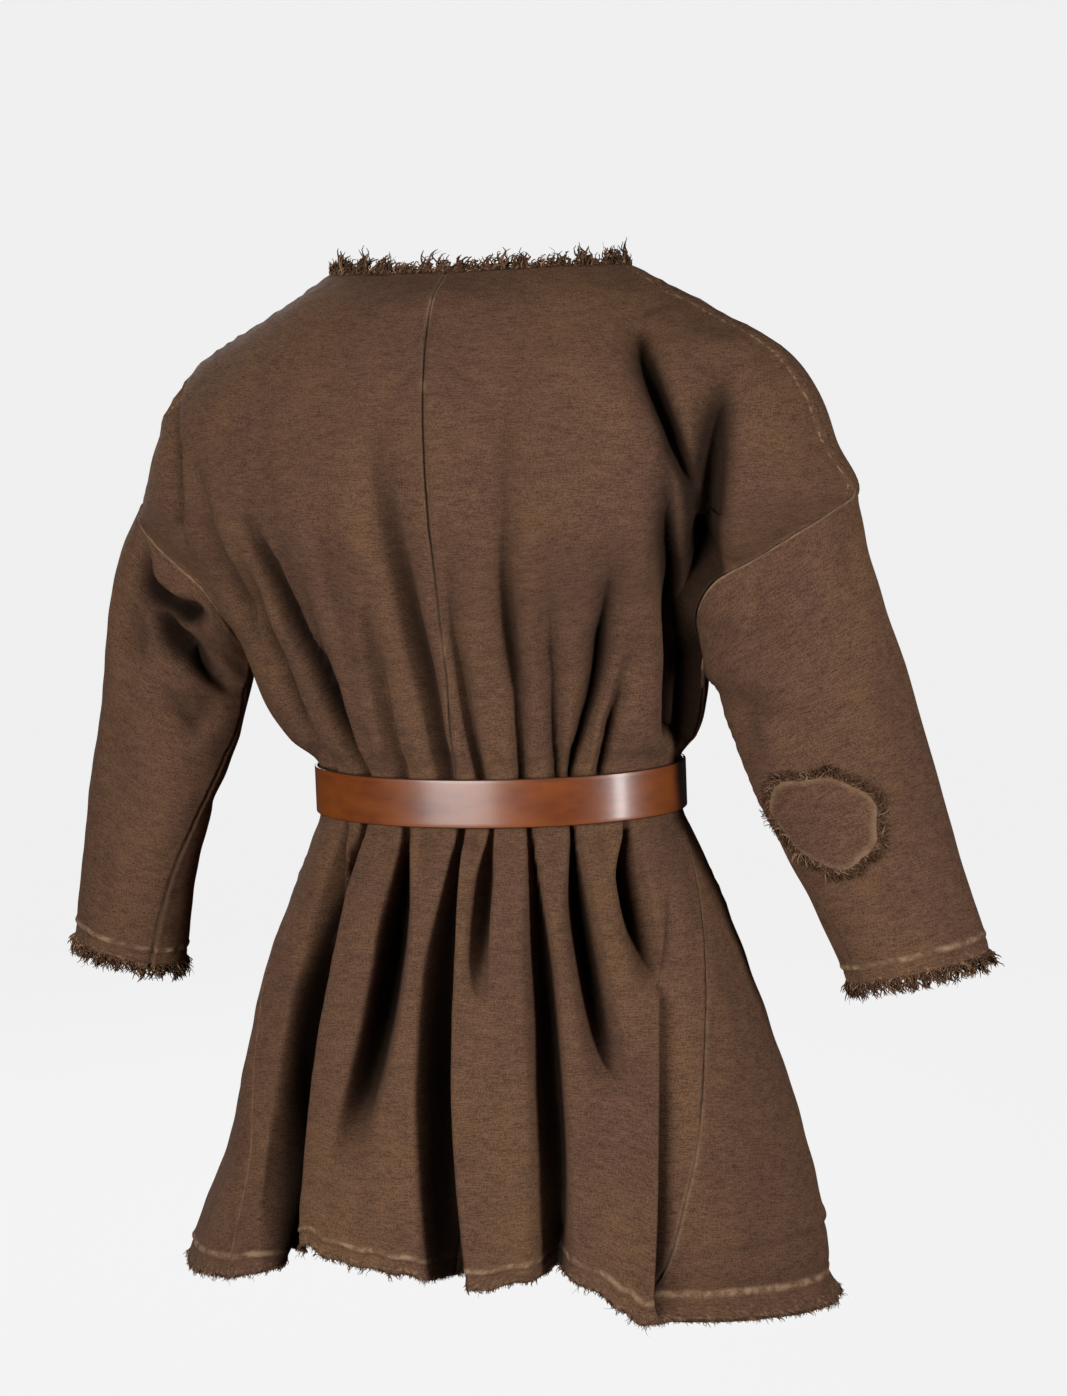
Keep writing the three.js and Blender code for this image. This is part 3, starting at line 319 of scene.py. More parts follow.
def plain_panel(face, side, across, height):
    """A panel before its folds: a cubic Bezier curve across, from the centre line to the edge."""
    across, height = alike(across, height)
    rows = np.moveaxis(rows_at(CONTROLS[face], height), -1, 0)
    y0, z0, x1, z1, x2, y2, z2, x3, y3, z3, sway = rows
    t = across
    w = [(1 - t) ** 3, 3 * t * (1 - t) ** 2, 3 * t * t * (1 - t), t**3]
    name = f"{'back' if face > 0 else 'front'} {'left' if side > 0 else 'right'}"
    rise = along_table(HEM_RISE[name], t) * smooth((height - HEM + 4) / 4)
    x = side * (x1 * w[1] + x2 * w[2] + x3 * w[3]) + sway * t
    y = y0 * (w[0] + w[1]) + y2 * w[2] + y3 * w[3]
    return np.stack([x, y, z0 * w[0] + z1 * w[1] + z2 * w[2] + z3 * w[3] + rise], -1)


def troughs(table, x, z, steep):
    """Depth and sideways shift of the troughs. The curve of a trough's floor and its depth are
    parabolas through the top, the middle and the end. A steep one widens as it falls, and rises
    from its floor to one rim on either side as 1 minus smooth(r), with a softer foot towards +x. A
    gather narrows as it falls, and is partly a bell and partly a sharp valley, e to the minus
    2.2 r."""
    depth, shift = np.zeros_like(x), np.zeros_like(x)
    for top_z, end_z, xa, xb, xc, da, db, dc, minus, plus, lean in table:
        t = np.clip((top_z - z) / (top_z - end_z), 0, 1)
        past = np.maximum(np.maximum(z - top_z, end_z - z), 0)
        first, second, third = (1 - t) * (1 - 2 * t), 4 * t * (1 - t), t * (2 * t - 1)
        off = x - (xa * first + xb * second + xc * third)
        reach = off / np.where(off < 0, minus, plus)
        deep = np.maximum(0, da * first + db * second + dc * third)
        if steep:
            reach = reach / ((0.3 + 0.7 * smooth(3 * t)) * (1 + 0.5 * t))
            soft = np.where(reach > 0, 1 - smooth(reach / 2.6), 0)
            bell = 1 - smooth(np.abs(reach))
            bell = np.where(reach > 0, 0.86 * bell + 0.14 * soft, bell)
        else:
            reach = reach / (1.7 - t)
            sharp = np.exp(-2.2 * (np.sqrt(reach * reach + 0.02) - 0.141))
            bell = 0.55 * gauss(1.2 * reach) + 0.45 * sharp
        deep = deep * bell * (1 - smooth(past / 30))
        depth += deep
        shift += lean * deep
    return depth, shift


def folds_and_gathers(face, x, z):
    """Depth and shift of a panel's skirt folds, and those of its gathers above the belt."""
    folds, gathers = (BACK_FOLDS, BACK_GATHERS) if face > 0 else (FRONT_FOLDS, FRONT_GATHERS)
    return troughs(folds, x, z, True), troughs(gathers, x, z, False)


def creases(table, x, z):
    """Depth of creases: a bell across a straight line, deepest at its middle."""
    depth = np.zeros_like(x)
    for xa, za, xb, zb, deep, width in table:
        run = np.array([xb - xa, zb - za], float)
        t = np.clip(((x - xa) * run[0] + (z - za) * run[1]) / (run @ run), 0, 1)
        off = np.hypot(x - xa - run[0] * t, z - za - run[1] * t) / width
        depth += deep * gauss(off) * np.sin(np.pi * (0.15 + 0.7 * t))
    return depth


def waves(point, seed, lengths, count=7):
    """A soft unevenness from -1 to 1: a mean of sine waves that run in uneven directions."""
    rng = np.random.default_rng(seed)
    total = np.zeros(point.shape[:-1])
    for _ in range(count):
        way = unit(rng.normal(size=3) * [1, 1, 0.6])
        length = rng.uniform(*lengths)
        total += np.sin(point @ way * (2 * np.pi / length) + rng.uniform(0, 6.28))
    return total / count


def crumple(point, amount=1.0):
    """Height of the small crumples that cloth has everywhere, in mm."""
    return amount * (2.4 * waves(point, 3, (70, 150)) + 1.3 * waves(point, 4, (28, 60)))


def seam_relief(distance, place, ridge=0.9, width=5.0):
    """Height beside a seam: a narrow groove on it, and puckered folded cloth next to it."""
    pucker = 1 + 0.5 * np.sin(place / 2.1 + 1.5 * np.sin(place / 9.0))
    return ridge * pucker * gauss((distance - width) / width) - 1.9 * gauss(distance / 1.6)


def hem_relief(distance, place):
    """Height above a raw edge: a puckered ridge at the stitching, and a wavy edge below it."""
    pucker = 1 + 0.6 * np.sin(place / 4.2 + 1.7 * np.sin(place / 17.0))
    ridge = 1.3 * pucker * gauss((distance - STITCH_LINE) / 3.2)
    ridge = ridge - 0.8 * gauss((distance - 14.5) / 2.0)
    return ridge + 1.2 * np.sin(place / 11.0 + 2 * np.sin(place / 31.0)) * gauss(distance / 9.0)


def above_hem(height):
    """Distance in mm to the raw hem: the rows below, times their length, or 200 above row 20."""
    return np.where(height > 20, (HEM - height) * ROW_LENGTH, 200.0)


def panel_measures(face, across, height):
    """Distances in mm along the cloth: to the seam at the panel's edge, to the centre line and to
    the raw hem."""
    across, height = alike(across, height)
    row = np.moveaxis(rows_at(CONTROLS[face], height), -1, 0)
    length = np.hypot(row[7], row[8] - row[0]) * 1.06
    return (1 - across) * length, across * length, above_hem(height)


def panel(face, side, across, height, fine=True):
    """A panel with its folds: each point moves in by the troughs' depth, and sideways by their
    lean. They fade towards the shoulder and side seams, and cross the gore seams. On the skirt the
    way in is level, and a fine panel also has creases, crumples and sewn edges."""
    across, height = alike(across, height)
    point = plain_panel(face, side, across, height)
    step = 0.01
    onward = plain_panel(face, side, across + step, height) - point
    down = plain_panel(face, side, across, height - step) - point
    outward = np.cross(onward, down) * (-face * side)
    outward[..., 0] = np.where(across == 0, 0.0, outward[..., 0])
    outward[..., 2] *= 1 - 0.9 * smooth((height - 16) / 3)
    outward = unit(outward)
    to_left = unit(onward) * side
    x, z = point[..., 0], point[..., 2]
    fade = smooth((1 - across) / 0.08)
    fade = np.maximum(fade, smooth((height - 17.5) / 2))
    (folded, leaning), (gathered, pulled) = folds_and_gathers(face, x, z)
    depth = (folded + gathered) * fade
    moved = point + to_left * ((leaning + pulled) * fade)[..., None]
    if fine:
        own = smooth((1 - across) / 0.05)
        depth = depth + creases(BACK_CREASES if face > 0 else FRONT_CREASES, x, z) * own
        edge, centre, hem = panel_measures(face, across, height)
        off_belt = 1 - gauss((z - BELT_MIDDLE) / BELT_HUG)
        depth = depth - crumple(point) * (smooth((1 - across) / 0.03) * off_belt) * 0.9
        shoulder = height < SHOULDER
        place = np.where(shoulder, x, z)
        ridge = np.where(shoulder & (face > 0), 1.6, 0.8)
        width = np.where(shoulder, 9.0, 5.0)
        depth = depth - seam_relief(edge, place, ridge, width) * off_belt * smooth(height / 0.4)
        if face > 0:
            depth = depth - seam_relief(centre, z, 0.5, 4.0) * off_belt
        depth = depth - hem_relief(hem, x)
    return moved - outward * depth[..., None]


def gore(side, across, height):
    """A gore: an arc of the skirt's ellipse from the back seam (0) to the front seam (1), moved so
    that its edges lie on the panels' edges, with one soft wave. The left one is drawn in a little,
    and the right one has a crease above its hem."""
    across, height = alike(across, height)
    rows = np.moveaxis(rows_at(SKIRT_ROWS, height - BELT_FOOT), -1, 0)
    a, b, angle, _, seam_z, side_z, _, sway = rows
    start = np.radians(angle)

    def arc(t):
        at = start + (np.pi - 2 * start) * t
        drop = (side_z - seam_z) * np.sin(np.pi * t)
        return np.stack([side * a * np.sin(at) + sway, b * np.cos(at), seam_z + drop], -1)

    zero, one = np.zeros_like(across), np.ones_like(across)
    point = arc(across)
    point += (panel(1, side, one, height, False) - arc(zero)) * (1 - across)[..., None]
    point += (panel(-1, side, one, height, False) - arc(one)) * across[..., None]
    low = smooth((height - BELT_FOOT - 2) / 5)
    wave = np.sin(np.pi * across) ** 2 * np.cos(2.6 * np.pi * (across - 0.5))
    push = wave * low * 8
    if side > 0:
        push = push - 11 * smooth((height - 18) / 4) * np.sin(np.pi * across) ** 2
    edge = np.minimum(across, 1 - across) * np.maximum(a * (np.pi - 2 * start), 1.0)
    soft = smooth(edge / 12)
    z = point[..., 2]
    push = push + crumple(point) * soft + seam_relief(edge, z, 0.8) * smooth(low * 6)
    push = push + hem_relief(above_hem(height), point[..., 1])
    if side < 0:
        push = push + (2.2 * gauss((z + 818) / 4.0) - 1.5 * gauss((z + 826) / 5.0)) * soft
    return point + np.stack([side * push, 0 * push, 0 * push], -1)


def armhole(side, around):
    """The panels' edges round the armhole: 0 at the underarm, then the back, 0.5 at the shoulder,
    then the front."""
    share = np.abs(around - 0.5) * 2
    height = SHOULDER + (UNDERARM - SHOULDER) * share
    back = plain_panel(1, side, np.ones_like(around), height)
    front = plain_panel(-1, side, np.ones_like(around), height)
    return np.where((around <= 0.5)[..., None], back, front)


def ring_frame(row):
    """Up, back and out directions of a sleeve's ring, whose plane rises by an angle."""
    rise = np.radians(row[..., 3])
    up = np.stack([np.cos(rise), 0 * rise, np.sin(rise)], -1)
    back = np.zeros_like(up)
    back[..., 1] = 1
    return up, back, np.cross(up, back)


def armhole_middle(side):
    """Mean of the armhole's edge, mirrored to the left."""
    return armhole(side, np.arange(20) / 20).mean(0) * [side, 1, 1]


MIDDLES = {side: armhole_middle(side) for side in (1, -1)}


def plain_sleeve(side, around, ring):
    """A sleeve before its creases: the armhole's outline turns by degrees into rolled ellipses."""
    around, ring = alike(around, ring)
    around = np.mod(around, 1.0)
    offset = armhole(side, around) * [side, 1, 1] - MIDDLES[side]
    row = rows_at(SLEEVE_ROWS, ring)
    up, back, out = ring_frame(row)
    first = np.array(SLEEVE_ROWS[0], float)
    first_up, first_back, first_out = ring_frame(first)
    roll = np.radians(row[..., 6])
    share = np.clip(row[..., 7], 0, 1)
    angle = np.radians(180 - 360 * around + row[..., 8]) - roll
    long, short = row[..., 4] * np.cos(angle), row[..., 5] * np.sin(angle)
    c, s = np.cos(roll), np.sin(roll)
    own = [long * c - short * s, long * s + short * c, 0]
    held = [offset @ first_up, offset @ first_back, offset @ first_out]
    u, b, o = (mine * share + theirs * (1 - share) for mine, theirs in zip(own, held))
    centre = row[..., :3] + (MIDDLES[side] - first[:3]) * np.maximum(0, 1 - ring / 3)[..., None]
    point = centre + up * u[..., None] + back * b[..., None] + out * o[..., None]
    return point * [side, 1, 1] + np.stack([row[..., 9], 0 * u, 0 * u], -1)


def sleeve_normal(side, around, ring, surface=plain_sleeve):
    """Outward direction of a sleeve, from its steps round and along."""
    step = 0.004
    onward = surface(side, around + step, ring) - surface(side, around - step, ring)
    up = surface(side, around, ring - step) - surface(side, around, ring + step)
    return unit(np.cross(up, onward)) * side


def sleeve(side, around, ring):
    """A sleeve with its creases: bells across straight lines on the unrolled sleeve. It also has
    crumples, an underarm and an armhole seam, and a stitched cuff."""
    around, ring = alike(around, ring)
    point = plain_sleeve(side, around, ring)
    depth = np.zeros_like(around)
    run = ring * RING_SPACING
    table = LEFT_SLEEVE_CREASES if side > 0 else RIGHT_SLEEVE_CREASES
    for lap in (-1, 0, 1):
        girth = np.radians(180 - 360 * around + 360 * lap) * SLEEVE_RADIUS
        turned = [
            [a * RING_SPACING, math.radians(p) * SLEEVE_RADIUS, b * RING_SPACING,
             math.radians(q) * SLEEVE_RADIUS, deep, width]
            for a, p, b, q, deep, width in table
        ]
        depth += creases(turned, run, girth)
    depth *= smooth(ring / 0.8)
    place = around * 2 * np.pi * 55
    seam = np.minimum(np.mod(around, 1), 1 - np.mod(around, 1)) * 2 * np.pi * 60
    height = crumple(point, 0.9) * smooth(ring / 0.35) + seam_relief(seam, run, 0.6, 4.0)
    height += seam_relief(run, place, 0.7, 4.0) * smooth(ring / 0.06)
    height += 0.8 * hem_relief((CUFF - ring) * 46.0 * 1.35, place)
    depth -= height
    return point - sleeve_normal(side, around, ring) * depth[..., None]


def crowded(count, ends=0.6):
    """Places from 0 to 1 that stand closer together at both ends: t - k sin(2 pi t) / (2 pi)."""
    t = np.linspace(0, 1, count)
    return t - ends * np.sin(2 * np.pi * t) / (2 * np.pi)


def grid_faces(rows, columns, closed=False):
    """Corners of each four-sided face of a grid of points, row by row."""
    last = columns if closed else columns - 1
    i, j = np.meshgrid(np.arange(rows - 1), np.arange(last), indexing="ij")
    n = (j + 1) % columns
    quads = [i * columns + j, i * columns + n, (i + 1) * columns + n, (i + 1) * columns + j]
    return np.stack(quads, -1).reshape(-1, 4)


def loop_faces(rows, columns):
    """Faces of a grid that closes along its rows and along its columns."""
    quads = grid_faces(rows, columns, True)
    start, after = quads[:columns, 0], quads[:columns, 1]
    last = (rows - 1) * columns
    return np.concatenate([quads, np.stack([start + last, after + last, after, start], -1)])


def grid_normals(grid, closed=False):
    """Unit normals of a grid: the cross product of its steps across and down."""
    if closed:
        wrapped = np.concatenate([grid[:, -2:], grid, grid[:, :2]], 1)
        across = np.gradient(wrapped, axis=1)[:, 2:-2]
    else:
        across = np.gradient(grid, axis=1)
    return unit(np.cross(np.gradient(grid, axis=0), across))


def new_mesh(name, points, faces, uv=None, values=None):
    """An object from points in mm and faces of three or four corners, with a UV map and values at
    its points, ready to be shown."""
    mesh = bpy.data.meshes.new(name)
    points = np.asarray(points, float).reshape(-1, 3) * 0.001
    groups = faces if isinstance(faces, list) else [faces]
    loops = np.concatenate([g.ravel() for g in groups]).astype(np.int32)
    totals = np.concatenate([np.full(len(g), g.shape[1], np.int32) for g in groups])
    starts = np.concatenate([[0], np.cumsum(totals)[:-1]]).astype(np.int32)
    mesh.vertices.add(len(points))
    mesh.vertices.foreach_set("co", points.ravel())
    mesh.loops.add(len(loops))
    mesh.loops.foreach_set("vertex_index", loops)
    mesh.polygons.add(len(totals))
    mesh.polygons.foreach_set("loop_start", starts)
    mesh.polygons.foreach_set("loop_total", totals)
    mesh.polygons.foreach_set("use_smooth", np.full(len(totals), True))
    if uv is not None:
        layer = mesh.uv_layers.new(name="Cloth")
        layer.data.foreach_set("uv", (np.asarray(uv).reshape(-1, 2)[loops] * 0.001).ravel())
    for key, value in (values or {}).items():
        layer = mesh.attributes.new(key, "FLOAT", "POINT")
        layer.data.foreach_set("value", np.asarray(value, np.float32).ravel())
    mesh.update(calc_edges=True)
    mesh.validate()
    piece = bpy.data.objects.new(name, mesh)
    bpy.context.scene.collection.objects.link(piece)
    return piece


def cloth_shell(name, grid, outward, values, closed=False):
    """A sheet of cloth: the grid is its outer face, the inner face lies one thickness behind it,
    and its edges are closed. UV runs in mm along the cloth, across and down."""
    thickness = bpy.context.scene.tunic_cloth.thickness * 1000
    rows, columns = grid.shape[:2]
    normal = grid_normals(grid, closed)
    flip = np.mean(np.sum(normal * outward, -1)) < 0
    normal = -normal if flip else normal
    inner = grid - normal * thickness
    count = rows * columns
    outer_faces = grid_faces(rows, columns, closed)
    inner_faces = outer_faces[:, ::-1] + count
    ring = np.arange(columns if closed else columns - 1)
    after = (ring + 1) % columns
    top = np.stack([ring, ring + count, after + count, after], -1)
    foot = top[:, ::-1] + (rows - 1) * columns
    parts = [outer_faces, inner_faces, top, foot]
    if not closed:
        line = np.arange(rows - 1) * columns
        left = np.stack([line, line + columns, line + columns + count, line + count], -1)
        parts += [left, left[:, ::-1] + columns - 1]
    quads = np.concatenate(parts)
    if not flip:
        quads = quads[:, ::-1]
    steps = np.linalg.norm(np.diff(grid, axis=1), axis=-1)
    across = np.concatenate([np.zeros((rows, 1)), np.cumsum(steps, 1)], 1)
    across = across - across.mean(1, keepdims=True)
    fall = np.linalg.norm(np.diff(grid, axis=0), axis=-1).mean(1)
    down = np.broadcast_to(np.concatenate([[0], np.cumsum(fall)])[:, None], across.shape)
    uv = np.stack([across, -down], -1).reshape(-1, 2)
    values = {
        key: np.tile(np.broadcast_to(value, grid.shape[:2]).ravel(), 2)
        for key, value in values.items()
    }
    values["inside"] = np.repeat([0.0, 1.0], count)
    return new_mesh(name, np.concatenate([grid.reshape(-1, 3), inner.reshape(-1, 3)]), quads,
                    np.tile(uv, (2, 1)), values)


def threads(root, out, normal, along, length, radius, curl, turns, rng, steps):
    """Loose yarn ends as thin tubes. A yarn's middle line is root + out s + a circle that opens and
    turns as s grows, so it curls; its rings are triangles that narrow towards the tip."""
    count, sides = len(root), 3
    t = np.linspace(0, 1, steps)[None, :, None]
    length = length[:, None, None]
    phase = rng.uniform(0, 2 * np.pi, count)[:, None, None]
    way = rng.normal(0, 0.35, (count, 1, 2))
    spin = 2 * np.pi * turns[:, None, None] * t + phase
    swing = curl * np.sqrt(t)
    side_step = swing * (np.cos(spin) - np.cos(phase)) + way[..., :1] * t * length * 0.6
    lift_step = swing * (np.sin(spin) - np.sin(phase)) * 0.8 + way[..., 1:] * t * length * 0.35
    line = root[:, None] + out[:, None] * t * length + along[:, None] * side_step
    line = line + normal[:, None] * lift_step
    run = unit(np.gradient(line, axis=1))
    first = unit(np.cross(run, normal[:, None] + 0.3 * along[:, None]))
    second = np.cross(run, first)
    at = (np.arange(sides) * 2 * np.pi / sides)[None, None, :, None]
    wide = radius * (1 - 0.75 * t[..., None] ** 3)
    spoke = first[:, :, None] * np.cos(at) + second[:, :, None] * np.sin(at)
    tube = line[:, :, None] + spoke * wide
    ring = grid_faces(steps, sides, True)[:, ::-1]
    base = (np.arange(count) * steps * sides)[:, None, None]
    quads = (ring[None] + base).reshape(-1, 4)
    tip = np.arange(sides) + (steps - 1) * sides
    caps = (tip[None, None] + base).reshape(-1, 3)
    uv = np.zeros((count, steps, sides, 2))
    uv[..., 0] = rng.uniform(0, 400, count)[:, None, None] + np.arange(sides)[None, None] * 0.4
    uv[..., 1] = (t * length)[..., 0][..., None]
    shade = np.repeat(rng.uniform(0, 1, count), steps * sides)
    return tube.reshape(-1, 3), quads, caps, uv.reshape(-1, 2), shade


def joined(name, parts):
    """One object from several lots of yarn ends."""
    points, quads, caps, uvs, shades, base = [], [], [], [], [], 0
    for p, q, c, uv, shade in parts:
        points.append(p)
        quads.append(q + base)
        caps.append(c + base)
        uvs.append(uv)
        shades.append(shade)
        base += len(p)
    faces = [np.concatenate(quads), np.concatenate(caps)]
    return new_mesh(name, np.concatenate(points), faces, np.concatenate(uvs),
                    {"shade": np.concatenate(shades)})


def stations(edge, inside, outward):
    """Directions along a raw edge: out of the cloth, off its face, and along the edge."""
    along = unit(np.roll(edge, -1, 0) - np.roll(edge, 1, 0))
    out = unit(edge - inside)
    normal = unit(np.cross(out, along))
    flip = np.sign(np.sum(normal * outward, -1, keepdims=True))
    normal = normal * np.where(flip == 0, 1, flip)
    out = unit(out - normal * np.sum(out * normal, -1, keepdims=True))
    return {"edge": edge, "out": out, "normal": normal, "along": along}


def picked(line, place):
    """Points and directions at places from 0 to 1 along a closed edge."""
    count = len(line["edge"])
    at = np.mod(place, 1.0) * count
    low = np.floor(at).astype(int) % count
    high = (low + 1) % count
    share = (at - np.floor(at))[:, None]
    mixed = {k: v[low] * (1 - share) + v[high] * share for k, v in line.items()}
    return {k: v if k == "edge" else unit(v) for k, v in mixed.items()}


def fray(name, line, girth, rng, tuft, matted, loose):
    """A frayed edge: a mat of short curls on the raw edge, tufts of yarns that lean together, and a
    few loose yarns. Each lot says how many, how long, how thick and how curly, in how many steps,
    and how far apart and how deep its yarns stand. A bunch of yarns shares one lean."""
    parts = []
    for lot in (matted, tuft, loose):
        count, bunch = lot["count"], lot.get("bunch", 1)
        yarns = count * bunch
        centres = (np.arange(count) + rng.uniform(-0.4, 0.4, count)) / count
        place = np.repeat(centres, bunch) + rng.normal(0, lot.get("spread", 0), yarns) / girth
        at = picked(line, place)
        lean = np.repeat(rng.normal(0, lot["lean"], (count, 2)), bunch, 0)
        out = unit(at["out"] + at["along"] * lean[:, :1] + at["normal"] * lean[:, 1:] * 0.6)
        size = rng.uniform(*lot["length"], count)
        if "gap" in lot:
            size = size * lot["gap"](centres)
        size = np.repeat(size, bunch) * rng.uniform(0.75, 1.0, yarns)
        root = at["edge"] - at["out"] * lot.get("inset", 1.0)
        root = root + at["normal"] * rng.uniform(-lot.get("deep", 1.0), 0.6, yarns)[:, None]
        turns = rng.uniform(*lot["turns"], yarns)
        parts.append(threads(root, out, at["normal"], at["along"], size, lot["radius"], lot["curl"],
                             turns, rng, lot["steps"]))
    return joined(name, parts)


# Materials


def put(nodes, kind, **settings):
    """A new node, with its settings and the values of its inputs."""
    node = nodes.new(kind)
    for key, value in settings.items():
        if key == "inputs":
            for name, number in value.items():
                node.inputs[name].default_value = number
        else:
            setattr(node, key, value)
    return node


def group(name, inputs, outputs):
    """An empty node group with named sockets."""
    tree = bpy.data.node_groups.new(name, "ShaderNodeTree")
    for key, kind, value in inputs:
        socket = tree.interface.new_socket(key, in_out="INPUT", socket_type=kind)
        if value is not None:
            socket.default_value = value
    for key, kind in outputs:
        tree.interface.new_socket(key, in_out="OUTPUT", socket_type=kind)
    return tree, tree.nodes.new("NodeGroupInput"), tree.nodes.new("NodeGroupOutput")


def math_node(tree, operation, a, b=None, clamp=False):
    """One sum on two values, each a socket or a number."""
    node = tree.nodes.new("ShaderNodeMath")
    node.operation = operation
    node.use_clamp = clamp
    for k, value in enumerate((a, b)):
        if value is None:
            continue
        if isinstance(value, (int, float)):
            node.inputs[k].default_value = value
        else:
            tree.links.new(value, node.inputs[k])
    return node.outputs[0]


def band(tree, value, low, high, start=0.0, end=1.0):
    """A value eased from start to end as it goes from low to high."""
    node = put(tree.nodes, "ShaderNodeMapRange", interpolation_type="SMOOTHSTEP")
    tree.links.new(value, node.inputs["Value"])
    for key, number in zip(("From Min", "From Max", "To Min", "To Max"), (low, high, start, end)):
        node.inputs[key].default_value = number
    return node.outputs["Result"]


def stretched_noise(tree, vector, scale, noise_scale, detail=2.0, roughness=0.6):
    """Noise on a stretched copy of the coordinates."""
    mapping = put(tree.nodes, "ShaderNodeMapping")
    mapping.inputs["Scale"].default_value = scale
    tree.links.new(vector, mapping.inputs["Vector"])
    noise = put(tree.nodes, "ShaderNodeTexNoise", noise_dimensions="3D",
                inputs={"Scale": noise_scale, "Detail": detail, "Roughness": roughness})
    tree.links.new(mapping.outputs[0], noise.inputs["Vector"])
    return noise.outputs["Fac"]


def mix_color(tree, factor, a, b, blend="MIX"):
    """Two colours mixed, each a socket or a colour."""
    node = put(tree.nodes, "ShaderNodeMix", data_type="RGBA", blend_type=blend, clamp_factor=True)
    for socket, value in ((node.inputs[0], factor), (node.inputs[6], a), (node.inputs[7], b)):
        if isinstance(value, (int, float, tuple)):
            socket.default_value = value
        else:
            tree.links.new(value, socket)
    return node.outputs[2]


def weighted_sum(tree, *parts):
    """The sum of several values, each times its share."""
    total = None
    for value, share in parts:
        term = math_node(tree, "MULTIPLY", value, share)
        total = term if total is None else math_node(tree, "ADD", total, term)
    return total


def product(tree, first, *more):
    """Several values multiplied."""
    for value in more:
        first = math_node(tree, "MULTIPLY", first, value)
    return first


def off_line(tree, distance, line):
    """How far a distance is from a line, on either side of it."""
    return math_node(tree, "ABSOLUTE", math_node(tree, "SUBTRACT", distance, line))


def shaded(color, *shares):
    """A colour with its red, green and blue each times a share. One share serves all three."""
    shares = shares * 3 if len(shares) == 1 else shares
    return tuple(c * k for c, k in zip(color[:3], shares)) + (1,)


def cloth_uv(tree):
    """The piece's own UV map, in metres along the cloth."""
    return put(tree.nodes, "ShaderNodeUVMap", uv_map="Cloth").outputs[0]


def set_surface(tree, bsdf, color, roughness, height, strength, depth):
    """Links a colour, a roughness and a bump of some depth in metres to the shader."""
    bump = put(tree.nodes, "ShaderNodeBump", inputs={"Strength": strength, "Distance": depth})
    tree.links.new(height, bump.inputs["Height"])
    surface = {"Base Color": color, "Roughness": roughness, "Normal": bump.outputs[0]}
    for key, value in surface.items():
        tree.links.new(value, bsdf.inputs[key])


def yarn_group():
    """Plain weave with uneven yarns. Yarns run along both directions of the UV map. Each yarn rises
    as the absolute value of a sine, and warp and weft take turns on top, so their heights are
    product and counter-product of two sines; slubs are noise stretched along each yarn."""
    tree, start, end = group(
        "Uneven plain weave",
        [("Vector", "NodeSocketVector", None), ("Yarn width", "NodeSocketFloat", 0.001)],
        [("Height", "NodeSocketFloat"), ("Slub", "NodeSocketFloat"), ("Mottle", "NodeSocketFloat"),
         ("Cloud", "NodeSocketFloat"), ("Fleck", "NodeSocketFloat")],
    )
    split = put(tree.nodes, "ShaderNodeSeparateXYZ")
    tree.links.new(start.outputs[0], split.inputs[0])
    sines = []
    for axis in (0, 1):
        turns = math_node(tree, "DIVIDE", split.outputs[axis], start.outputs[1])
        sines.append(math_node(tree, "SINE", product(tree, turns, math.pi)))
    weave = math_node(tree, "ABSOLUTE", product(tree, *sines))
    upright, level, fleck, smudge, cloud = (
        stretched_noise(tree, start.outputs[0], *noise) for noise in (
            ((900, 150, 1), 1.0, 3.0, 0.7), ((110, 900, 1), 1.0, 3.0, 0.7),
            ((1, 1, 1), 700.0, 2.0, 0.7), ((40, 110, 1), 1.0, 4.0, 0.7),
            ((9, 6, 1), 1.0, 4.0, 0.55))
    )
    slub = weighted_sum(tree, (upright, 0.4), (level, 0.6))
    mottle = weighted_sum(tree, (slub, 0.5), (smudge, 0.14), (fleck, 0.36))
    height = weighted_sum(tree, (weave, 0.5), (slub, 0.9))
    for socket, value in zip(end.inputs, (height, slub, mottle, cloud, fleck)):
        tree.links.new(value, socket)
    return tree


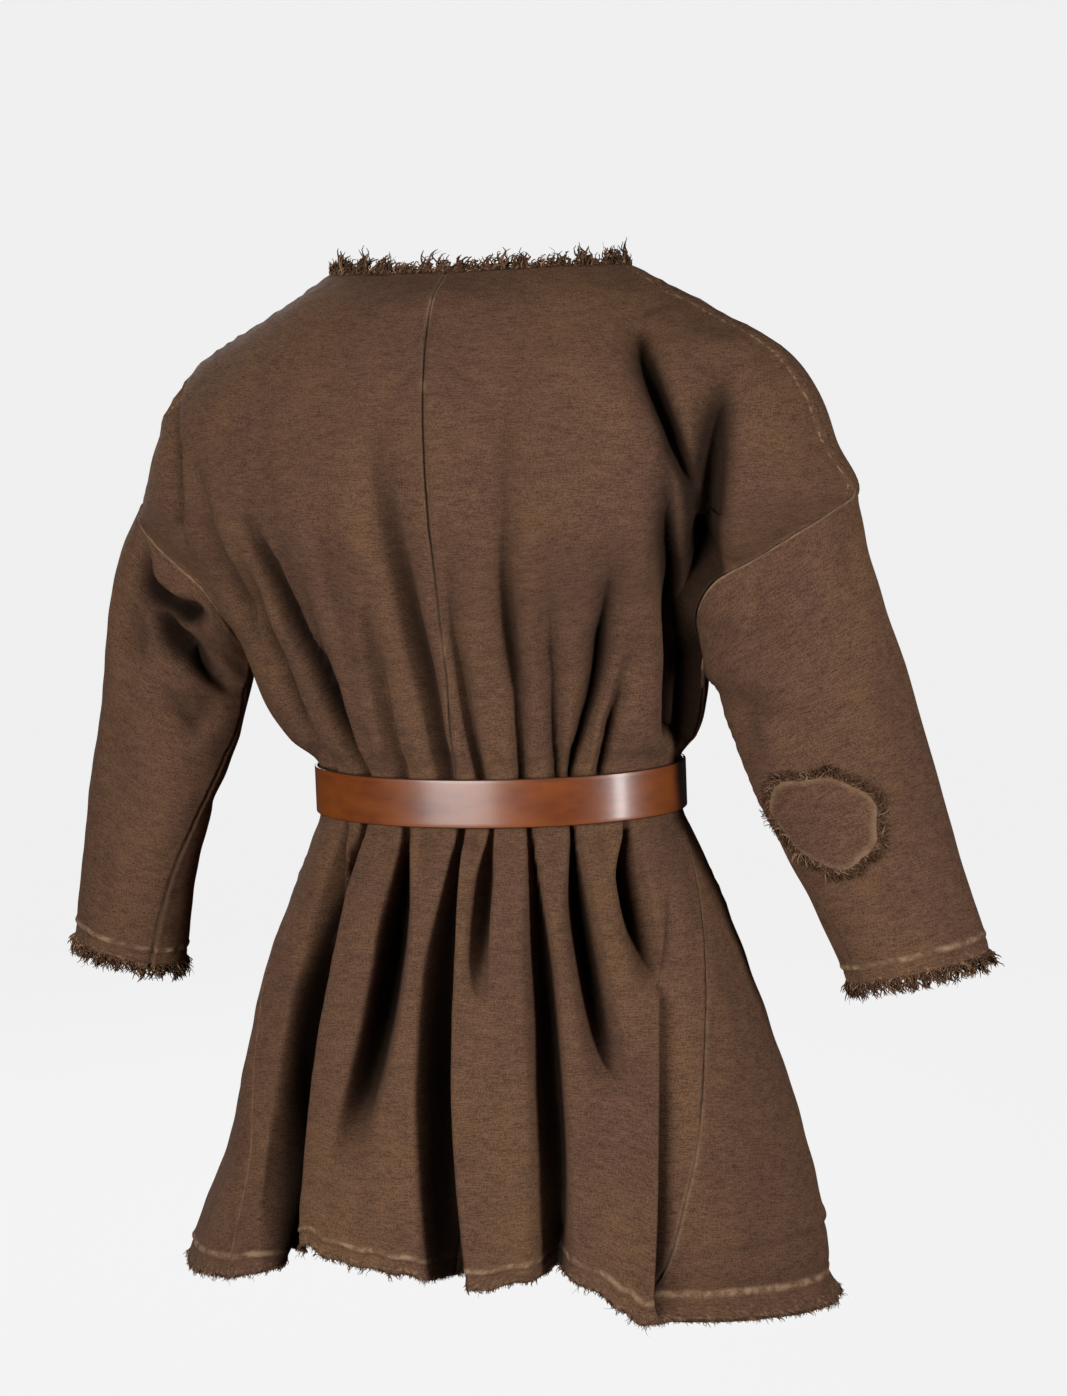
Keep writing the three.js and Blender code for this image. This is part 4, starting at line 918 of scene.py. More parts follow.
def wear_group():
    """Worn edges. Distances in mm to the seam, to the raw edge and to the shoulder seam become
    bands: on the seam line, on the stitched ridge, on the edge itself, and on the felled stitching
    and its puckers, each broken up by noise. An unworn seam has a dark line instead."""
    tree, start, end = group(
        "Worn seams and edges",
        [("Vector", "NodeSocketVector", None), ("Seam", "NodeSocketFloat", 100.0),
         ("Strength", "NodeSocketFloat", 0.0), ("Hem", "NodeSocketFloat", 100.0),
         ("Fell", "NodeSocketFloat", 100.0)],
        [("Wear", "NodeSocketFloat"), ("Shadow", "NodeSocketFloat")],
    )
    vector, seam, strength, hem, fell = (start.outputs[k] for k in range(5))
    patchy = stretched_noise(tree, vector, (60, 60, 60), 1.0, 4.0, 0.7)
    dashes = stretched_noise(tree, vector, (210, 210, 210), 1.0, 2.0, 0.6)
    on_seam = product(tree, band(tree, seam, 0.5, 2.6, 1.0, 0.0), strength,
                      band(tree, patchy, 0.3, 0.6, 0.35, 1.0))
    on_ridge = product(tree, band(tree, off_line(tree, hem, STITCH_LINE), 0.8, 4.6, 1.0, 0.0),
                       band(tree, patchy, 0.4, 0.64, 0.12, 1.0))
    on_edge = product(tree, band(tree, hem, 0.0, 16.0, 0.7, 0.0),
                      band(tree, dashes, 0.5, 0.72, 0.0, 1.0))
    on_fell = product(tree, band(tree, off_line(tree, fell, FELL_LINE), 0.4, 2.8, 0.8, 0.0),
                      band(tree, dashes, 0.46, 0.62, 0.0, 1.0))
    puckers = product(tree, band(tree, fell, 2.0, FELL_LINE, 0.7, 0.25),
                      band(tree, fell, FELL_LINE, FELL_LINE + 2, 1.0, 0.0),
                      band(tree, dashes, 0.55, 0.75, 0.0, 1.0))
    wear = on_seam
    for more in (on_ridge, on_edge, on_fell, puckers):
        wear = math_node(tree, "MAXIMUM", wear, more)
    shadow = product(tree, band(tree, seam, 0.3, 1.4, 1.0, 0.0),
                     math_node(tree, "SUBTRACT", 1.0, strength, True))
    tree.links.new(wear, end.inputs[0])
    tree.links.new(shadow, end.inputs[1])
    return tree


def place_group(tree, source, **inputs):
    """A group node with its inputs linked or set."""
    node = put(tree.nodes, "ShaderNodeGroup", node_tree=source)
    for key, value in inputs.items():
        socket = node.inputs[key.replace("_", " ").capitalize()]
        if isinstance(value, (int, float)):
            socket.default_value = value
        else:
            tree.links.new(value, socket)
    return node


def shader(name, **constants):
    """A new material and its shader, with the constants on the shader's own sockets."""
    material = bpy.data.materials.new(name)
    material.use_nodes = True
    tree = material.node_tree
    bsdf = tree.nodes["Principled BSDF"]
    for key, value in constants.items():
        bsdf.inputs[key.replace("_", " ")].default_value = value
    return material, tree, bsdf


def attribute(tree, name):
    """The value that a piece's points carry under a name."""
    return put(tree.nodes, "ShaderNodeAttribute", attribute_name=name).outputs["Fac"]


def cloth_material(name, settings, deeper=0.0):
    """Brown plain-woven cloth: dark and light yarns, cloudy dye, and tan wear on seams and edges.
    Troughs and creases are darkened by depth as painted shade; the inside faces are darker."""
    material, tree, bsdf = shader(name, Specular_IOR_Level=0.12)
    uv = cloth_uv(tree)
    yarn = place_group(tree, shared_group("Uneven plain weave", yarn_group), Vector=uv,
                       Yarn_width=settings.yarn_width)
    wear = place_group(tree, shared_group("Worn seams and edges", wear_group), Vector=uv,
                       Seam=attribute(tree, "seam"), Hem=attribute(tree, "hem"),
                       Strength=attribute(tree, "worn"), Fell=attribute(tree, "fell"))
    mottle, fleck, cloud, slub = (yarn.outputs[k] for k in ("Mottle", "Fleck", "Cloud", "Slub"))
    cloth, worn = settings.cloth_color, tuple(settings.wear_color)
    dark, light = shaded(cloth, 0.5), shaded(cloth, 1.52, 1.5, 1.48)
    base = mix_color(tree, band(tree, mottle, 0.4, 0.6), dark, light)
    base = mix_color(tree, band(tree, fleck, 0.6, 0.72, 0.0, 0.55), base, shaded(dark, 0.4))
    cool, warm = (0.88, 0.86, 0.92, 1), (1.08, 1.08, 0.97, 1)
    dye = mix_color(tree, band(tree, cloud, 0.35, 0.7), cool, warm)
    base = mix_color(tree, 1.0, base, dye, "MULTIPLY")
    # Painted shade: the deeper a point lies in a trough or crease, the darker its colour.
    painted_trough_shade = band(tree, attribute(tree, "deep"), 4.0, 24.0, 0.0, 0.86)
    inner = band(tree, attribute(tree, "inside"), 0.4, 0.6, 0.0, 0.25 + deeper)
    for share, tint in (
        (product(tree, band(tree, slub, 0.62, 0.74), 0.4), worn),
        (product(tree, wear.outputs["Shadow"], 0.6), (0.012, 0.007, 0.005, 1)),
        (product(tree, wear.outputs["Wear"], 0.75), worn),
        (painted_trough_shade, shaded(cloth, 0.12)),
        (inner, (0.05, 0.03, 0.022, 1)),
    ):
        base = mix_color(tree, share, base, tint)
    rough = band(tree, mottle, 0.3, 0.7, 0.97, 0.84)
    set_surface(tree, bsdf, base, rough, yarn.outputs["Height"], 0.75, 0.0007)
    return material


def fringe_material(name, settings):
    """Loose yarns of the same cloth, some darker and some lighter, with fine twist marks."""
    material, tree, bsdf = shader(name, Specular_IOR_Level=0.08)
    shade, uv = attribute(tree, "shade"), cloth_uv(tree)
    fluff = stretched_noise(tree, uv, (900, 900, 1), 1.0, 2.0, 0.6)
    cloth = settings.cloth_color
    base = mix_color(tree, product(tree, shade, fluff), shaded(cloth, 0.5),
                     shaded(cloth, 2.1, 1.95, 1.8))
    base = mix_color(tree, band(tree, shade, 0.7, 1.0, 0.0, 0.6), base, tuple(settings.wear_color))
    twist = put(tree.nodes, "ShaderNodeTexWave", wave_type="BANDS", bands_direction="DIAGONAL",
                inputs={"Scale": 420.0, "Distortion": 1.5})
    tree.links.new(uv, twist.inputs["Vector"])
    rough = band(tree, fluff, 0.3, 0.7, 0.9, 1.0)
    set_surface(tree, bsdf, base, rough, twist.outputs["Fac"], 0.6, 0.0004)
    return material


def leather_material(name, settings):
    """Polished vegetable-tanned leather: dye that pools, fine pores, burnished dark edges and
    punched holes."""
    material, tree, bsdf = shader(name, Coat_Roughness=0.22, Specular_IOR_Level=0.5)
    uv, edge, hole = cloth_uv(tree), attribute(tree, "edge"), attribute(tree, "hole")
    pools = stretched_noise(tree, uv, (10, 26, 1), 1.0, 4.0, 0.6)
    grain = stretched_noise(tree, uv, (700, 900, 1), 1.0, 3.0, 0.65)
    pores = put(tree.nodes, "ShaderNodeTexVoronoi", feature="F1", inputs={"Scale": 1100.0})
    tree.links.new(uv, pores.inputs["Vector"])
    light = tuple(settings.leather_color)
    dark = shaded(light, 0.55, 0.42, 0.35)
    base = mix_color(tree, band(tree, pools, 0.38, 0.7), light, dark)
    base = mix_color(tree, band(tree, grain, 0.45, 0.8, 0.0, 0.25), base, dark)
    base = mix_color(tree, band(tree, edge, 0.35, 0.9, 0.0, 0.85), base, (0.045, 0.016, 0.006, 1))
    # Painted shade: each punched hole is painted near-black for the shade inside it, and only
    # dented by the bump.
    base = mix_color(tree, band(tree, hole, 0.35, 0.6), base, (0.012, 0.006, 0.004, 1))
    tree.links.new(band(tree, edge, 0.3, 0.8, 0.6, 0.1), bsdf.inputs["Coat Weight"])
    height = math_node(tree, "ADD", product(tree, grain, 0.6),
                       band(tree, pores.outputs["Distance"], 0.0, 0.4, 0.0, 0.5))
    height = math_node(tree, "SUBTRACT", height, product(tree, hole, 4.0))
    set_surface(tree, bsdf, base, band(tree, grain, 0.3, 0.75, 0.3, 0.44), height, 0.16, 0.0005)
    return material


def brass_material(name, settings):
    """Old brass: bright where it is rubbed, brown in between, with fine scratches."""
    material, tree, bsdf = shader(name, Metallic=1.0)
    place = put(tree.nodes, "ShaderNodeTexCoord").outputs["Object"]
    tarnish = stretched_noise(tree, place, (60, 60, 60), 1.0, 5.0, 0.65)
    scratch = stretched_noise(tree, place, (150, 150, 2600), 1.0, 3.0, 0.6)
    metal = tuple(settings.metal_color)
    base = mix_color(tree, band(tree, tarnish, 0.4, 0.68), metal, shaded(metal, 0.45))
    rough = math_node(tree, "ADD", band(tree, tarnish, 0.35, 0.7, 0.22, 0.45),
                      product(tree, scratch, 0.12))
    set_surface(tree, bsdf, base, rough, scratch, 0.12, 0.0003)
    return material


def floor_material(color):
    """Plain pale matt ground with a very faint unevenness, evenly bright."""
    material, tree, bsdf = shader("pale ground", Roughness=0.9, Specular_IOR_Level=0.1,
                                  Emission_Strength=0.98, Emission_Color=tuple(color))
    place = put(tree.nodes, "ShaderNodeTexCoord").outputs["Object"]
    cloud = stretched_noise(tree, place, (1, 1, 1), 0.8, 2.0, 0.5)
    base = mix_color(tree, cloud, shaded(color, 0.03), shaded(color, 0.02))
    tree.links.new(base, bsdf.inputs["Base Color"])
    return material


def shared_group(name, make):
    """A node group that several materials use, made once."""
    return bpy.data.node_groups.get(name) or make()


def finish_of(key):
    """The tunic's materials, each made once."""
    cloth, belt = bpy.context.scene.tunic_cloth, bpy.context.scene.tunic_belt
    name, make, *settings = {
        "cloth": ("brown cloth", cloth_material, cloth),
        "patch": ("patch cloth", cloth_material, cloth, 0.1),
        "fringe": ("frayed yarn", fringe_material, cloth),
        "leather": ("polished leather", leather_material, belt),
        "metal": ("aged brass", brass_material, belt),
    }[key]
    return bpy.data.materials.get(name) or make(name, *settings)


def settle(piece, node, look):
    """Gives a piece its material, and puts it in the place of its plain solid."""
    piece.data.materials.append(finish_of(look))
    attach(piece, "root")
    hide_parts(node)
    return piece


def body_heights(first=0.0, count=184):
    """Heights of a panel's grid lines, one to a row, closer together towards the hem."""
    lines = [np.linspace(first, LOW_ROW, count)[:-1], np.linspace(LOW_ROW, HEM, LOW_LINES)]
    return np.concatenate(lines)[:, None]


def panel_values(face, side, across, height):
    """What a panel's points carry: mm to its nearest worn seam, how worn that is, mm to the hem, mm
    to the felled shoulder seam, and how deep in a trough they lie."""
    edge, centre, hem = panel_measures(face, across, height)
    armhole_seam = (height >= SHOULDER) & (height <= UNDERARM + 0.3)
    skirt = height > BELT_FOOT
    worn = np.where(armhole_seam, 1.0, np.where(skirt, 0.35, 0.12)) + 0 * across
    seam = edge
    if face > 0:
        nearer = centre < edge
        seam = np.minimum(edge, centre)
        upper = 0.65 * smooth((1.9 - height) / 0.8) + 0.5 * gauss((height - 3.3) / 0.12)
        centre_worn = np.clip(upper + 0.12 + 0.3 * gauss((height - 11) / 0.3), 0, 1)
        worn = np.where(nearer, centre_worn, worn)
    fell = np.where((height < SHOULDER + 0.2) & (face > 0), edge, FAR)
    flat = plain_panel(face, side, across, height)
    (folded, _), (gathered, _) = folds_and_gathers(face, flat[..., 0], flat[..., 2])
    # The cloth darkens points deep in a trough as painted shade.
    return {"seam": seam, "worn": worn, "hem": hem, "fell": fell, "deep": folded * 0.6 + gathered}


def length_setting(name, description, default, low, high):
    """A length in metres that a user can change."""
    return bpy.props.FloatProperty(name=name, description=description, default=default, min=low,
                                   max=high, unit="LENGTH", subtype="DISTANCE")


def color_setting(name, description, red, green, blue):
    """A colour that a user can change."""
    return bpy.props.FloatVectorProperty(name=name, description=description, subtype="COLOR",
                                         size=4, default=(red, green, blue, 1.0), min=0, max=1)


def power_setting(name, description, default):
    """A light's power in watts that a user can change."""
    return bpy.props.FloatProperty(name=name, description=description, default=default, min=0,
                                   max=2000)


class TunicCloth(bpy.types.PropertyGroup):
    """Sizes and colours of the cloth and its frayed edges."""

    thickness: length_setting("Cloth thickness", "How thick the cloth is", 0.0018, 0.0005, 0.003)
    yarn_width: length_setting("Yarn width", "Distance from one yarn to the next",
                               0.0009, 0.0003, 0.003)
    cloth_color: color_setting("Cloth colour", "Middle colour of the dyed cloth",
                               0.121, 0.064, 0.038)
    wear_color: color_setting("Worn colour", "Colour of the yarn where the dye has worn off",
                              0.36, 0.235, 0.14)
    neck_fringe: length_setting("Neck fringe", "Length of the tufts at the neck",
                                0.018, 0.002, 0.03)
    cuff_fringe: length_setting("Cuff fringe", "Length of the tufts at the cuffs",
                                0.0145, 0.002, 0.03)
    patch_fringe: length_setting("Patch fringe", "Length of the yarns round the patch",
                                 0.010, 0.002, 0.03)
    hem_fringe: length_setting("Hem fringe", "Length of the yarns at the hem", 0.006, 0.001, 0.02)


class TunicBelt(bpy.types.PropertyGroup):
    """Sizes and colours of the belt and its buckle."""

    width: length_setting("Belt width", "Height of the strap", 0.041, 0.02, 0.06)
    thickness: length_setting("Strap thickness", "Thickness of the leather", 0.0035, 0.001, 0.006)
    leather_color: color_setting("Leather colour", "Lighter colour of the polished leather",
                                 0.2, 0.05, 0.008)
    metal_color: color_setting("Metal colour", "Colour of the rubbed brass", 0.62, 0.43, 0.19)


class TunicStage(bpy.types.PropertyGroup):
    """The ground, the lights and how bright they are."""

    drop: length_setting("Floor", "How far the floor lies below the hem", 0.25, 0.0, 2.0)
    ground_color: color_setting("Ground colour", "Colour of the floor and the backdrop",
                                0.88, 0.88, 0.88)
    key_power: power_setting("Main light", "Power of the large soft light", 72.0)
    side_power: power_setting("Side light", "Power of the narrow light at the side", 52.0)


class CutBack(bpy.types.Operator):
    """Make the two halves of the back."""

    bl_idname = "tunic.cut_back"
    bl_label = "Cut the back"

    def execute(self, context):
        height = body_heights()
        across = crowded(124)[None]
        for side, name in ((1, "back_left"), (-1, "back_right")):
            grid = panel(1, side, across, height)
            values = panel_values(1, side, across, height)
            piece = cloth_shell(f"cloth_{name}", grid, (0, 1, 0), values)
            settle(piece, name, "cloth")
        return {"FINISHED"}


class CutFront(bpy.types.Operator):
    """Make the whole front, which mirrors the back's build without its centre seam."""

    bl_idname = "tunic.cut_front"
    bl_label = "Cut the front"

    def execute(self, context):
        height = body_heights(count=164)
        half = crowded(84)[None]
        halves = (-1, half[:, :0:-1]), (1, half)
        grid = np.concatenate([panel(-1, side, across, height) for side, across in halves], 1)
        right, left = (panel_values(-1, side, across, height) for side, across in halves)
        values = {key: np.concatenate([right[key], left[key]], 1) for key in right}
        piece = cloth_shell("cloth_front", grid, (0, -1, 0), values)
        settle(piece, "front", "cloth")
        return {"FINISHED"}


class CutGores(bpy.types.Operator):
    """Make the gores at both sides of the skirt."""

    bl_idname = "tunic.cut_gores"
    bl_label = "Cut the gores"

    def execute(self, context):
        height = body_heights(GORE_TOP, 100)
        across = crowded(60, 0.4)[None]
        rows = rows_at(SKIRT_ROWS, height[:, 0] - BELT_FOOT)
        width = rows[:, 0] * (np.pi - 2 * np.radians(rows[:, 2]))
        edge = np.minimum(across, 1 - across) * width[:, None]
        values = {"seam": edge, "worn": 0.5, "hem": (HEM - height) * ROW_LENGTH, "fell": FAR}
        for side, name in ((1, "gore_left"), (-1, "gore_right")):
            piece = cloth_shell(f"cloth_{name}", gore(side, across, height), (side, 0, 0), values)
            settle(piece, name, "cloth")
        return {"FINISHED"}


class CutSleeves(bpy.types.Operator):
    """Make the two sleeves."""

    bl_idname = "tunic.cut_sleeves"
    bl_label = "Cut the sleeves"

    def execute(self, context):
        stretches = (0, 0.5, 14), (0.5, 7.2, 92), (7.2, CUFF, 24)
        ring = np.concatenate([np.linspace(*s)[:-1] for s in stretches] + [[CUFF]])[:, None]
        around = np.arange(150)[None] / 150
        from_armhole, under = ring * RING_SPACING, np.minimum(around, 1 - around) * 380.0
        for side, name in ((1, "sleeve_left"), (-1, "sleeve_right")):
            grid = sleeve(side, around, ring)
            values = {
                "seam": np.minimum(from_armhole, under),
                "worn": np.where(from_armhole < under, 1.0, 0.3),
                "hem": (CUFF - ring) * 62.0,
                "fell": FAR,
                # How far creases, crumples and seams move each point; the cloth darkens it as
                # painted shade.
                "deep": np.linalg.norm(grid - plain_sleeve(side, around, ring), axis=-1),
            }
            outward = grid - grid.mean(1, keepdims=True)
            piece = cloth_shell(f"cloth_{name}", grid, outward, values, True)
            settle(piece, name, "cloth")
        return {"FINISHED"}


def patch_surface(angle, radius, lift):
    """A place on the right sleeve: radius mm from the patch's middle at an angle, lifted off the
    sleeve by lift mm."""
    around = (180 - PATCH_ANGLE) / 360 - radius * np.sin(angle) / (2 * np.pi * SLEEVE_RADIUS)
    ring = PATCH_RING + radius * np.cos(angle) / RING_SPACING
    normal = sleeve_normal(-1, around, ring, sleeve)
    return sleeve(-1, around, ring) + normal * np.asarray(lift)[..., None]


def patch_edge(angle):
    """Radius of the patch's uneven edge."""
    return PATCH_RADIUS * (1 + 0.05 * np.sin(3 * angle + 0.6) + 0.03 * np.sin(7 * angle))


class SewPatch(bpy.types.Operator):
    """Make the round patch and its frayed rim on the right elbow."""

    bl_idname = "tunic.sew_patch"
    bl_label = "Sew the elbow patch"

    def execute(self, context):
        spokes = 120
        angle = np.arange(spokes)[None] * 2 * np.pi / spokes
        share = np.concatenate([np.linspace(1, 0.8, 9)[:-1], np.linspace(0.8, 0.004, 16)])[:, None]
        radius = patch_edge(angle) * share
        inwards = patch_edge(angle) - radius
        lift = 2.1 - 1.1 * gauss(inwards / 1.5) + 0.4 * gauss((inwards - 5) / 3)
        lift = lift + 0.4 * np.sin(angle * 23 + 2 * np.sin(5 * angle)) * gauss((inwards - 4) / 4)
        top = patch_surface(angle + 0 * share, radius, lift)
        foot = patch_surface(angle + 0 * share, radius, 0 * lift + 0.5)
        count = top.shape[0] * top.shape[1]
        faces = grid_faces(top.shape[0], top.shape[1], True)
        ring = np.arange(spokes)
        after = (ring + 1) % spokes
        rim = np.stack([ring, after, after + count, ring + count], -1)
        hub = count - spokes + ring[::-1]
        points = np.concatenate([top.reshape(-1, 3), foot.reshape(-1, 3)])
        first, second, _, fourth = points[faces[0]]
        normal = np.cross(second - first, fourth - first)
        quads = np.concatenate([faces, faces[:, ::-1] + count, rim[:, ::-1]])
        zero = np.zeros(1)
        outward = patch_surface(zero, zero, zero + 1) - patch_surface(zero, zero, zero)
        caps = np.stack([hub, hub[::-1] + count])
        if normal @ outward[0] < 0:
            quads, caps = quads[:, ::-1], caps[:, ::-1]
        uv = np.stack([radius * np.sin(angle) + 700, radius * np.cos(angle)], -1).reshape(-1, 2)
        values = {"seam": inwards * 0.32, "worn": 0.6, "hem": FAR, "fell": FAR}
        values = {k: np.tile((v + 0 * inwards).ravel(), 2) for k, v in values.items()}
        values["inside"] = np.repeat([0.0, 1.0], count)
        piece = new_mesh("round_patch", points, [quads, caps], np.tile(uv, (2, 1)), values)
        settle(piece, "elbow_patch", "patch")

        turn = np.arange(160) * 2 * np.pi / 160
        edge = patch_surface(turn, patch_edge(turn), 1.6 + 0 * turn)
        inside = patch_surface(turn, patch_edge(turn) - 4, 1.6 + 0 * turn)
        line = stations(edge, inside, np.broadcast_to(outward, edge.shape))
        rng = np.random.default_rng(51)
        size = context.scene.tunic_cloth.patch_fringe * 1000
        matted = dict(count=620, length=(4, 8), radius=0.6, curl=1.5, turns=(0.5, 1.4), inset=2,
                      lean=0.9, steps=5, deep=0.4)
        tuft = dict(count=100, bunch=6, spread=1.2, length=(0.8 * size, 1.3 * size), radius=0.62,
                    curl=2.2, turns=(0.5, 1.6), lean=0.6, steps=7, deep=0.3)
        loose = dict(count=26, length=(size, size * 1.5), radius=0.3, curl=2.5, turns=(0.3, 1.0),
                     lean=0.7, steps=9, deep=0.2)
        piece = fray("patch_fray", line, 260, rng, tuft, matted, loose)
        settle(piece, "patch_fringe", "fringe")
        return {"FINISHED"}


def ring_edge(height, inset):
    """Points on the body's raw edge at a height, and inset rows in from it, round from the centre
    back over the left side to the front and back again. Only the hem crosses the gores."""
    u = np.linspace(0, 1, 421)[:-1]
    low = height == HEM
    rings = []
    for rows in (height, height - inset if low else height + inset):
        left = [gore(1, u, rows)] if low else []
        right = [gore(-1, 1 - u, rows)] if low else []
        front = [panel(-1, 1, 1 - u, rows), panel(-1, -1, u, rows)]
        lines = [panel(1, 1, u, rows), *left, *front, *right, panel(1, -1, 1 - u, rows)]
        rings.append(np.concatenate(lines))
    return rings


class FrayEdges(bpy.types.Operator):
    """Make the frayed edges of the neck, the cuffs and the hem."""

    bl_idname = "tunic.fray_edges"
    bl_label = "Fray the raw edges"

    def execute(self, context):
        cloth = context.scene.tunic_cloth
        edge, inside = ring_edge(0.0, 0.1)
        middle = edge.mean(0)
        line = even(stations(edge, inside, (edge - middle) * [1, 1, 0] + [0, 0, 40]))
        line["out"] = unit(line["out"] + [0, 0, 0.9])
        rng = np.random.default_rng(11)
        size = cloth.neck_fringe * 1000
        girth = length_of(edge)

        def thin(place):
            uneven = 0.75 + 0.25 * np.sin(place * 61 + 1.2) * np.sin(place * 23)
            return uneven - 0.3 * gauss((place - 0.985) / 0.004)

        matted = dict(count=1700, length=(4, 10), radius=0.75, curl=2.2, turns=(0.5, 1.5), inset=3,
                      lean=0.9, steps=5, deep=1.8)
        tuft = dict(count=int(girth / 5.0), bunch=6, spread=1.2, length=(0.85 * size, 1.35 * size),
                    radius=1.05, curl=2.4, turns=(0.8, 2.2), lean=0.45, steps=8, gap=thin)
        loose = dict(count=50, length=(size * 0.8, size * 1.3), radius=0.35, curl=3.0,
                     turns=(0.3, 1.1), lean=0.8, steps=9)
        piece = fray("neck_fray", line, girth, rng, tuft, matted, loose)
        settle(piece, "neck_fringe", "fringe")

        edge, inside = ring_edge(float(HEM), 0.08)
        line = even(stations(edge, inside, edge * [1, 1, 0]))
        rng = np.random.default_rng(12)
        girth = length_of(edge)
        size = cloth.hem_fringe * 1000
        matted = dict(count=3400, length=(3, 0.95 * size), radius=0.45, curl=0.8, turns=(0.3, 1.0),
                      inset=2.0, lean=0.5, steps=4, deep=1.6)
        tuft = dict(count=int(girth / 16), bunch=4, spread=1.8, length=(size * 0.9, size * 1.5),
                    radius=0.4, curl=0.9, turns=(0.3, 1.0), lean=0.5, steps=6)
        loose = dict(count=46, length=(size * 1.5, size * 2.4), radius=0.25, curl=2.0,
                     turns=(0.2, 0.8), lean=0.9, steps=8)
        piece = fray("hem_fray", line, girth, rng, tuft, matted, loose)
        settle(piece, "hem_fringe", "fringe")

        around = np.arange(360) / 360
        for side, name, seed in ((1, "left", 13), (-1, "right", 14)):
            edge = sleeve(side, around, CUFF)
            inside = sleeve(side, around, CUFF - 0.07)
            line = even(stations(edge, inside, edge - edge.mean(0)))
            rng = np.random.default_rng(seed)
            size = cloth.cuff_fringe * 1000
            girth = length_of(edge)
            matted = dict(count=1100, length=(5, 12), radius=0.7, curl=1.6, turns=(0.5, 1.4),
                          inset=2.5, lean=0.8, steps=5, deep=1.6)
            tuft = dict(count=int(girth / 4.0), bunch=7, spread=1.2,
                        length=(0.8 * size, 1.25 * size), radius=0.85, curl=1.6, turns=(0.6, 1.8),
                        lean=0.4, steps=7)
            loose = dict(count=22, length=(size, size * 1.5), radius=0.3, curl=2.6,
                         turns=(0.3, 1.1), lean=0.8, steps=9)
            piece = fray(f"cuff_fray_{name}", line, girth, rng, tuft, matted, loose)
            settle(piece, f"cuff_fringe_{name}", "fringe")
        return {"FINISHED"}


def length_of(edge):
    """Length of a closed line."""
    return float(np.linalg.norm(np.roll(edge, -1, 0) - edge, axis=1).sum())


def even(line):
    """The same closed line with its points at 900 even steps."""
    edge = line["edge"]
    steps = np.linalg.norm(np.roll(edge, -1, 0) - edge, axis=1)
    far = np.concatenate([[0], np.cumsum(steps)])
    want = np.linspace(0, far[-1], 901)[:-1]
    spread = {}
    for key, value in line.items():
        closed = np.concatenate([value, value[:1]])
        spread[key] = np.stack([np.interp(want, far, column) for column in closed.T], -1)
    return {k: v if k == "edge" else unit(v) for k, v in spread.items()}


# The belt


# Angles of the waist's ellipse and the way along it to each, from the middle of the front
ANGLES = np.linspace(-2 * np.pi, 4 * np.pi, 4001)
BETWEEN = (ANGLES[1:] + ANGLES[:-1]) / 2
STEPS = np.hypot(WAIST[0] * np.cos(BETWEEN), WAIST[1] * np.sin(BETWEEN)) * np.diff(ANGLES)
ARC = np.concatenate([[0], np.cumsum(STEPS)])
ARC = ARC - np.interp(0.0, ANGLES, ARC)
GIRTH = float(np.interp(2 * np.pi, ANGLES, ARC))
# Millimetres along the strap, across it, or off the cloth. The prong's line has x and lift.
BELT = {"lap": 60, "tail": 130, "tip": 14, "hole": 7, "hole_step": 25}
KEEPER = {"at": 48, "width": 12, "thickness": 1.6, "slack": 0.6}
BUCKLE = {"bar": 20, "far": -22, "bar_lift": 2.5, "far_lift": 8.6, "wire": 4.5, "inside": 43}
PRONG = [[16.4, 2.2], [11, 3], [4, 9.5], [-5, 12.3], [-26, 13]]


def beside_waist(run, lift, z):
    """A point beside the waist's ellipse: run is the way along it from the middle of the front
    towards the left, and lift the height above the cloth."""
    a, b = WAIST
    angle = np.interp(run, ARC, ANGLES)
    normal = unit(np.stack([b * np.sin(angle), -a * np.cos(angle), 0 * angle], -1))
    foot = np.stack([a * np.sin(angle), -b * np.cos(angle), z + 0 * angle], -1)
    return foot + normal * np.asarray(lift)[..., None]


def strap_lift(run, thickness):
    """Height of the strap's inner face: close to the cloth, over the keeper's foot, and on the
    strap's own first stretch where it laps over."""
    over = smooth((run - GIRTH + 45) / 60)
    local = np.where(run > GIRTH / 2, run - GIRTH, run)
    on_keeper = 2.6 * gauss((local - KEEPER["at"]) / 26)
    return 0.4 + on_keeper + (thickness + 0.6) * over + 0.4 * gauss((local - 20) / 14) * over


def rounded(half_height, thickness, corner=1.1, steps=5):
    """Outline of a strap across: a slab with rounded corners, as heights and lifts."""
    turn = np.linspace(0, np.pi / 2, steps)
    quarter = np.stack([np.sin(turn), 1 - np.cos(turn)], -1) * corner
    side = np.linspace(-1, 1, 15)[1:-1]
    outer = [[half_height - corner + s, thickness - c] for s, c in quarter]
    lower = [[half_height - c, corner - s] for s, c in quarter]
    right = outer + lower
    flat = [[-s * (half_height - corner), 0] for s in side]
    left = [[-h, lift] for h, lift in right[::-1]]
    crown = [[s * (half_height - corner), thickness] for s in side]
    return np.array(right + flat + left + crown, float)


def rounded_loop(turn, half_wide, half_high, power):
    """A rounded rectangle: the cosine and the sine of a turn, each raised to a power."""
    wide = half_wide * np.sign(np.cos(turn)) * np.abs(np.cos(turn)) ** power
    return wide, half_high * np.sign(np.sin(turn)) * np.abs(np.sin(turn)) ** power


